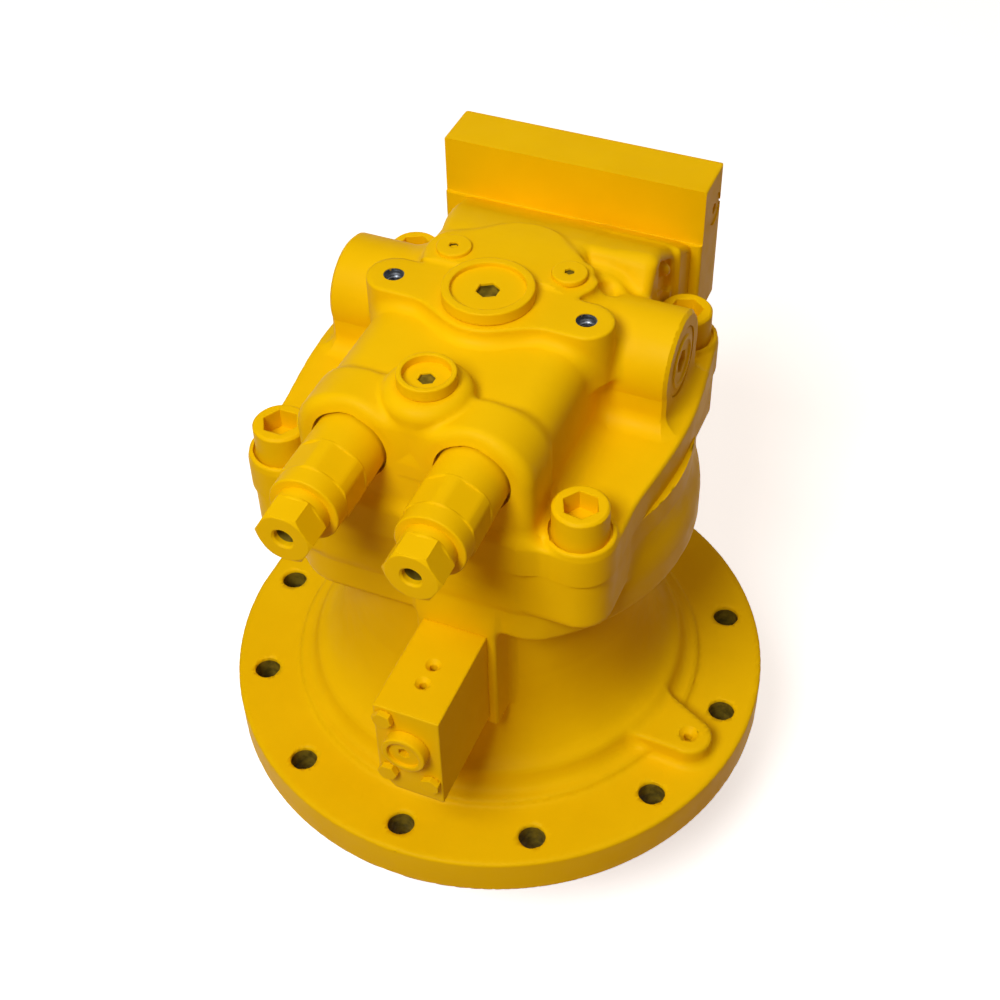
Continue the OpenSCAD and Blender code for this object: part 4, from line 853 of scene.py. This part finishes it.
def at_corners(name, template, size, centre, tilt, turn, free, node):
    piece = grow(name, RECTANGLE, {"Fastener": template, "Width": size[0] * MM, "Height": size[1] * MM,
                                   "Centre": [c * MM for c in centre], "Tilt": tilt, "Turn": turn,
                                   "Free corner": free, "Material": TURNED_PAINT}, 30)
    bpy.data.objects.remove(template)
    return fit(piece, "casing", "paint", node)


def cap_screw_solid(u, v, w, head_r, head_h, across, shank_r, length):
    """Socket head cap screw with a chamfered top edge, w up from its seat."""
    r = np.hypot(u, v)
    head = chamfered(r - head_r, w - head_h, 1.3)
    head = meet(head, -w, 0.3)
    head = cut(head, np.maximum(hexagon(u, v, across), head_h * 0.42 - w), 0.35)
    return join(head, np.maximum(r - shank_r, slab(w, -length, 1)))


RECTANGLE = rectangle_tree()

screw = solid_object("cover_screw", lambda x, y, z: cap_screw_solid(y, x, z, HEAD_R, HEAD_H, 17, 10, 16),
                     (-16, -16, -17), (16, 16, 21.5), 0.7, TURNED_PAINT)
at_corners("cover_screws", screw, (2 * BOLT_X, 2 * BOLT_X), (0, 0, SEAT_Z), (0, 0, 0), (0, 0, 0.471),
           -1, "cover_bolts")

screw = solid_object("port_screw", lambda x, y, z: cap_screw_solid(x, z, y, 8, 10, 8, 5, 10),
                     (-9, -11, -9), (9, 11.5, 9), 0.6, TURNED_PAINT)
at_corners("port_screws", screw, (128, 30), (0, PORT_Y + PORT_T - 12, PORT_Z - 9),
           (math.pi / 2, 0, 0), (0, 0.4, 0), -1, "port_block_bolts")


def hex_screw_solid(x, y, z):
    """Small hexagon head with a washer face and a chamfered crown, head towards -Y."""
    r, w = np.hypot(x, z), -y
    head = np.maximum(meet(hexagon(z, x, 10), slab(w, 0.5, 4), 0.25), (r - 5.0 + (w - 4) * 1.7) * 0.507)
    washer = meet(r - 4.8, slab(w, 0, 1), 0.1)
    return join(join(head, washer), np.maximum(r - 3, slab(w, -8, 1)))


screw = solid_object("brake_screw", hex_screw_solid, (-7, -5.5, -7), (7, 9, 7), 0.4, TURNED_PAINT, 30)
at_corners("brake_screws", screw, (24.6, 44.6), (BRAKE_X, BRAKE_FRONT, BRAKE_PLUG_Z - 2.8),
           (math.pi / 2, 0, 0), (0, 0.3, 0), 3, "brake_valve_bolts")


def gauge_plug_solid(x, y, z):
    r = np.hypot(x, y)
    head = meet(r - 9.6, slab(z, 0, 3.5), 1.0)
    head = cut(head, np.maximum(hexagon(x, y, 5), -1.5 - z), 0.3)
    return join(head, meet(r - 6.4, slab(z, -12, 1), 0.4), 0.1)


plug = solid_object("gauge_plug", gauge_plug_solid, (-11, -11, -13), (11, 11, 5), 0.6, TURNED_PAINT)
pair = at_corners("gauge_plugs_pair", plug, (2 * GAUGE_X, 0), (0, GAUGE_Y, PAD_Z), (0, 0, 0), (0, 0, 0.3),
                  -1, "gauge_plugs")
# Painted shade deep in the gauge plugs' sockets
lay_painted_shade(pair, lambda x, y, z: (np.hypot(np.abs(x) - GAUGE_X, y - GAUGE_Y) < 3.3) & (z < PAD_Z + 2.6))


def end_plug_solid(x, y, z):
    """Plug sunk in the end of the port block, its socket along X both ways."""
    r, w = np.hypot(y, z), np.abs(x) - PORT_W / 2
    head = meet(r - 9.3, slab(w, -3.3, -0.8), 0.5)
    head = cut(head, np.maximum(hexagon(y, z, 6), -5 - w), 0.3)
    return join(head, np.maximum(r - 7, slab(w, -12, -2)))


for sign, word in ((-1, "left"), (1, "right")):
    near = sorted((sign * (PORT_W / 2 - 13), sign * (PORT_W / 2 + 1)))
    piece = solid_object(f"end_plug_{word}", lambda a, b, c: end_plug_solid(a, b - PORT_Y - END_Y, c - END_Z),
                         (near[0], PORT_Y + END_Y - 11, END_Z - 11),
                         (near[1], PORT_Y + END_Y + 11, END_Z + 11), 0.6, TURNED_PAINT)
    fit(piece, "casing", "paint", "port_block_plugs")


def thread_tree():
    """A screw thread's crest, swept along a helix down a hole."""
    tree, entry = node_tree("Thread in a tapped hole", [
        ("Radius", "NodeSocketFloat", 0.006), ("Pitch", "NodeSocketFloat", 0.00175),
        ("Turns", "NodeSocketFloat", 10.0), ("Crest", "NodeSocketFloat", 0.001),
        ("Foot", "NodeSocketVector", None), ("Material", "NodeSocketMaterial", None)])
    depth = add(tree, "ShaderNodeMath", {0: entry.outputs["Pitch"], 1: entry.outputs["Turns"]},
                operation="MULTIPLY")
    helix = add(tree, "GeometryNodeCurveSpiral",
                {"Rotations": entry.outputs["Turns"], "Start Radius": entry.outputs["Radius"],
                 "End Radius": entry.outputs["Radius"], "Height": depth.outputs[0]}, {"Resolution": 40})
    ridge = add(tree, "GeometryNodeCurvePrimitiveCircle", {"Radius": entry.outputs["Crest"]},
                {"Resolution": 4})
    wire = add(tree, "GeometryNodeCurveToMesh",
               {"Curve": helix.outputs[0], "Profile Curve": ridge.outputs["Curve"]},
               {"Fill Caps": True})
    placed = add(tree, "GeometryNodeTransform",
                 {"Geometry": wire.outputs[0], "Translation": entry.outputs["Foot"]})
    finish_tree(tree, placed.outputs[0])
    return tree


def hole_lining(x, y, z, centre):
    """A thin sleeve of bare iron behind the thread."""
    r = np.hypot(x - centre, y)
    wall = np.maximum(r - LIFT_R - 0.8, LIFT_R + 0.3 - r)
    return np.maximum(wall, slab(z, PAD_Z - 24, PAD_Z - 0.5))


THREAD = thread_tree()
for sign, word in ((-1, "left"), (1, "right")):
    thread = grow(f"lifting_thread_{word}", THREAD, {
        "Radius": (LIFT_R + 0.4) * MM, "Pitch": 1.75 * MM, "Turns": 12.0, "Crest": 0.85 * MM,
        "Foot": (sign * LIFT_X * MM, 0, (PAD_Z - 22.6) * MM), "Material": TAPPED})
    fit(thread, "casing", "steel")
    lining = solid_object(f"lifting_hole_{word}",
                          lambda x, y, z: hole_lining(x, y, z, sign * LIFT_X),
                          (sign * LIFT_X - 8, -8, PAD_Z - 26), (sign * LIFT_X + 8, 8, PAD_Z + 1), 0.5, TAPPED)
    fit(lining, "casing", "steel")


# Nodes of the model that stay as they are, each with its finish

FINISHES = {
    STEEL: ["dowel_pins", "relief_poppet_left", "relief_poppet_right", "check_poppet_left",
            "check_poppet_right", "swash_plate", "bearing_outer", "bearing_rollers", "bearing_inner",
            "upper_bearing", "snap_ring", "drive_shaft", "retainer_guide", "retainer_plate",
            "separator_plates", "brake_piston", "brake_valve_spool"] + [f"piston_{k}" for k in range(1, 10)],
    WIRE: ["relief_spring_left", "relief_spring_right", "check_spring_left", "check_spring_right",
           "block_spring", "brake_springs", "brake_valve_spring"],
    BRONZE: ["valve_plate", "cylinder_block", "shoes"],
    RUBBER: ["cover_seal", "port_block_seals", "spigot_seal", "shaft_seal"],
    LINING: ["friction_plates"],
}
for finish, nodes in FINISHES.items():
    for node in nodes:
        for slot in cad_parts[node].material_slots:
            slot.material = finish


# Camera, floor and lights

def aim_camera():
    """The photograph's view, found from the flange, bolt and port circles."""
    azimuth, elevation, roll = math.radians(23.82), math.radians(44.66), math.radians(-1.63)
    distance, shift_right, shift_up = 1037.5, -0.069, 108.33
    back = Vector((math.sin(azimuth) * math.cos(elevation), -math.cos(azimuth) * math.cos(elevation),
                   math.sin(elevation)))
    level = Vector((0, 0, 1)).cross(back).normalized()
    rise = back.cross(level)
    right = level * math.cos(roll) + rise * math.sin(roll)
    up = rise * math.cos(roll) - level * math.sin(roll)
    place = (back * distance + right * shift_right + up * shift_up) * MM
    data = bpy.data.cameras.new("photo_view")
    data.sensor_width = 36.0
    data.lens = 57.65
    data.clip_start = 0.05
    cam = bpy.data.objects.new("photo_view", data)
    cam.matrix_world = Matrix.Translation(place) @ Matrix((right, up, back)).transposed().to_4x4()
    bpy.context.scene.collection.objects.link(cam)
    bpy.context.scene.camera = cam


def lay_floor():
    """A flat pale floor just under the shaft's end."""
    size, level = 6.0, cad_box[0][2] - 0.0005
    mesh = bpy.data.meshes.new("floor")
    mesh.from_pydata([(-size, -size, level), (size, -size, level), (size, size, level), (-size, size, level)],
                     [], [(0, 1, 2, 3)])
    floor = bpy.data.objects.new("floor", mesh)
    bpy.context.scene.collection.objects.link(floor)
    mesh.materials.append(studio_floor("Matt white studio floor"))


def seen_directly(tree):
    """1 for what the camera sees, also in metal or through glass, and 0 for light on the object."""
    ray = add(tree, "ShaderNodeLightPath")
    near = add(tree, "ShaderNodeMath", {0: ray.outputs["Is Camera Ray"], 1: ray.outputs["Is Glossy Ray"]},
               operation="MAXIMUM")
    return add(tree, "ShaderNodeMath", {0: near.outputs[0], 1: ray.outputs["Is Transmission Ray"]},
               operation="MAXIMUM").outputs[0]


def studio_floor(name):
    """White to the camera and in reflections, where it keeps the shadow; greyer as a source of light."""
    mat, tree, shader, place = new_material(name)
    seen = seen_directly(tree)
    shade = add(tree, "ShaderNodeMix", {0: seen}, data_type="RGBA")
    shade.inputs["A"].default_value = colour("#8E6A3E")
    shade.inputs["B"].default_value = colour("#FFFFFF")
    tree.links.new(shade.outputs["Result"], shader.inputs["Base Color"])
    glow = add(tree, "ShaderNodeMath", {0: seen}, {1: 0.62}, operation="MULTIPLY")
    shader.inputs["Emission Color"].default_value = (1, 1, 1, 1)
    tree.links.new(glow.outputs[0], shader.inputs["Emission Strength"])
    shader.inputs["Roughness"].default_value = 0.9
    return mat


def area_light(name, place, target, size, power):
    data = bpy.data.lights.new(name, "AREA")
    data.shape = "DISK"
    data.size = size
    data.energy = power
    lamp = bpy.data.objects.new(name, data)
    lamp.location = place
    lamp.rotation_euler = (Vector(target) - Vector(place)).to_track_quat("-Z", "Y").to_euler()
    bpy.context.scene.collection.objects.link(lamp)


def light_studio():
    """Surroundings that look white and give a warm fill, a soft box in front and one overhead."""
    world = bpy.data.worlds.new("studio")
    bpy.context.scene.world = world
    world.use_nodes = True
    tree = world.node_tree
    tree.nodes.clear()
    soft = add(tree, "ShaderNodeBackground", values={"Color": (1.0, 0.6, 0.26, 1), "Strength": 0.21})
    white = add(tree, "ShaderNodeBackground", values={"Color": (1, 1, 1, 1), "Strength": 1.0})
    mix = add(tree, "ShaderNodeMixShader", {0: seen_directly(tree), 1: soft.outputs[0], 2: white.outputs[0]})
    add(tree, "ShaderNodeOutputWorld", {"Surface": mix.outputs[0]})
    area_light("key", (-0.16, -1.4, 1.85), (0, 0, 0.15), 0.9, 34)
    area_light("top", (0.0, 0.3, 2.3), (0, 0, 0.2), 1.4, 8)


aim_camera()
lay_floor()
light_studio()
bpy.context.scene.view_settings.view_transform = "Standard"
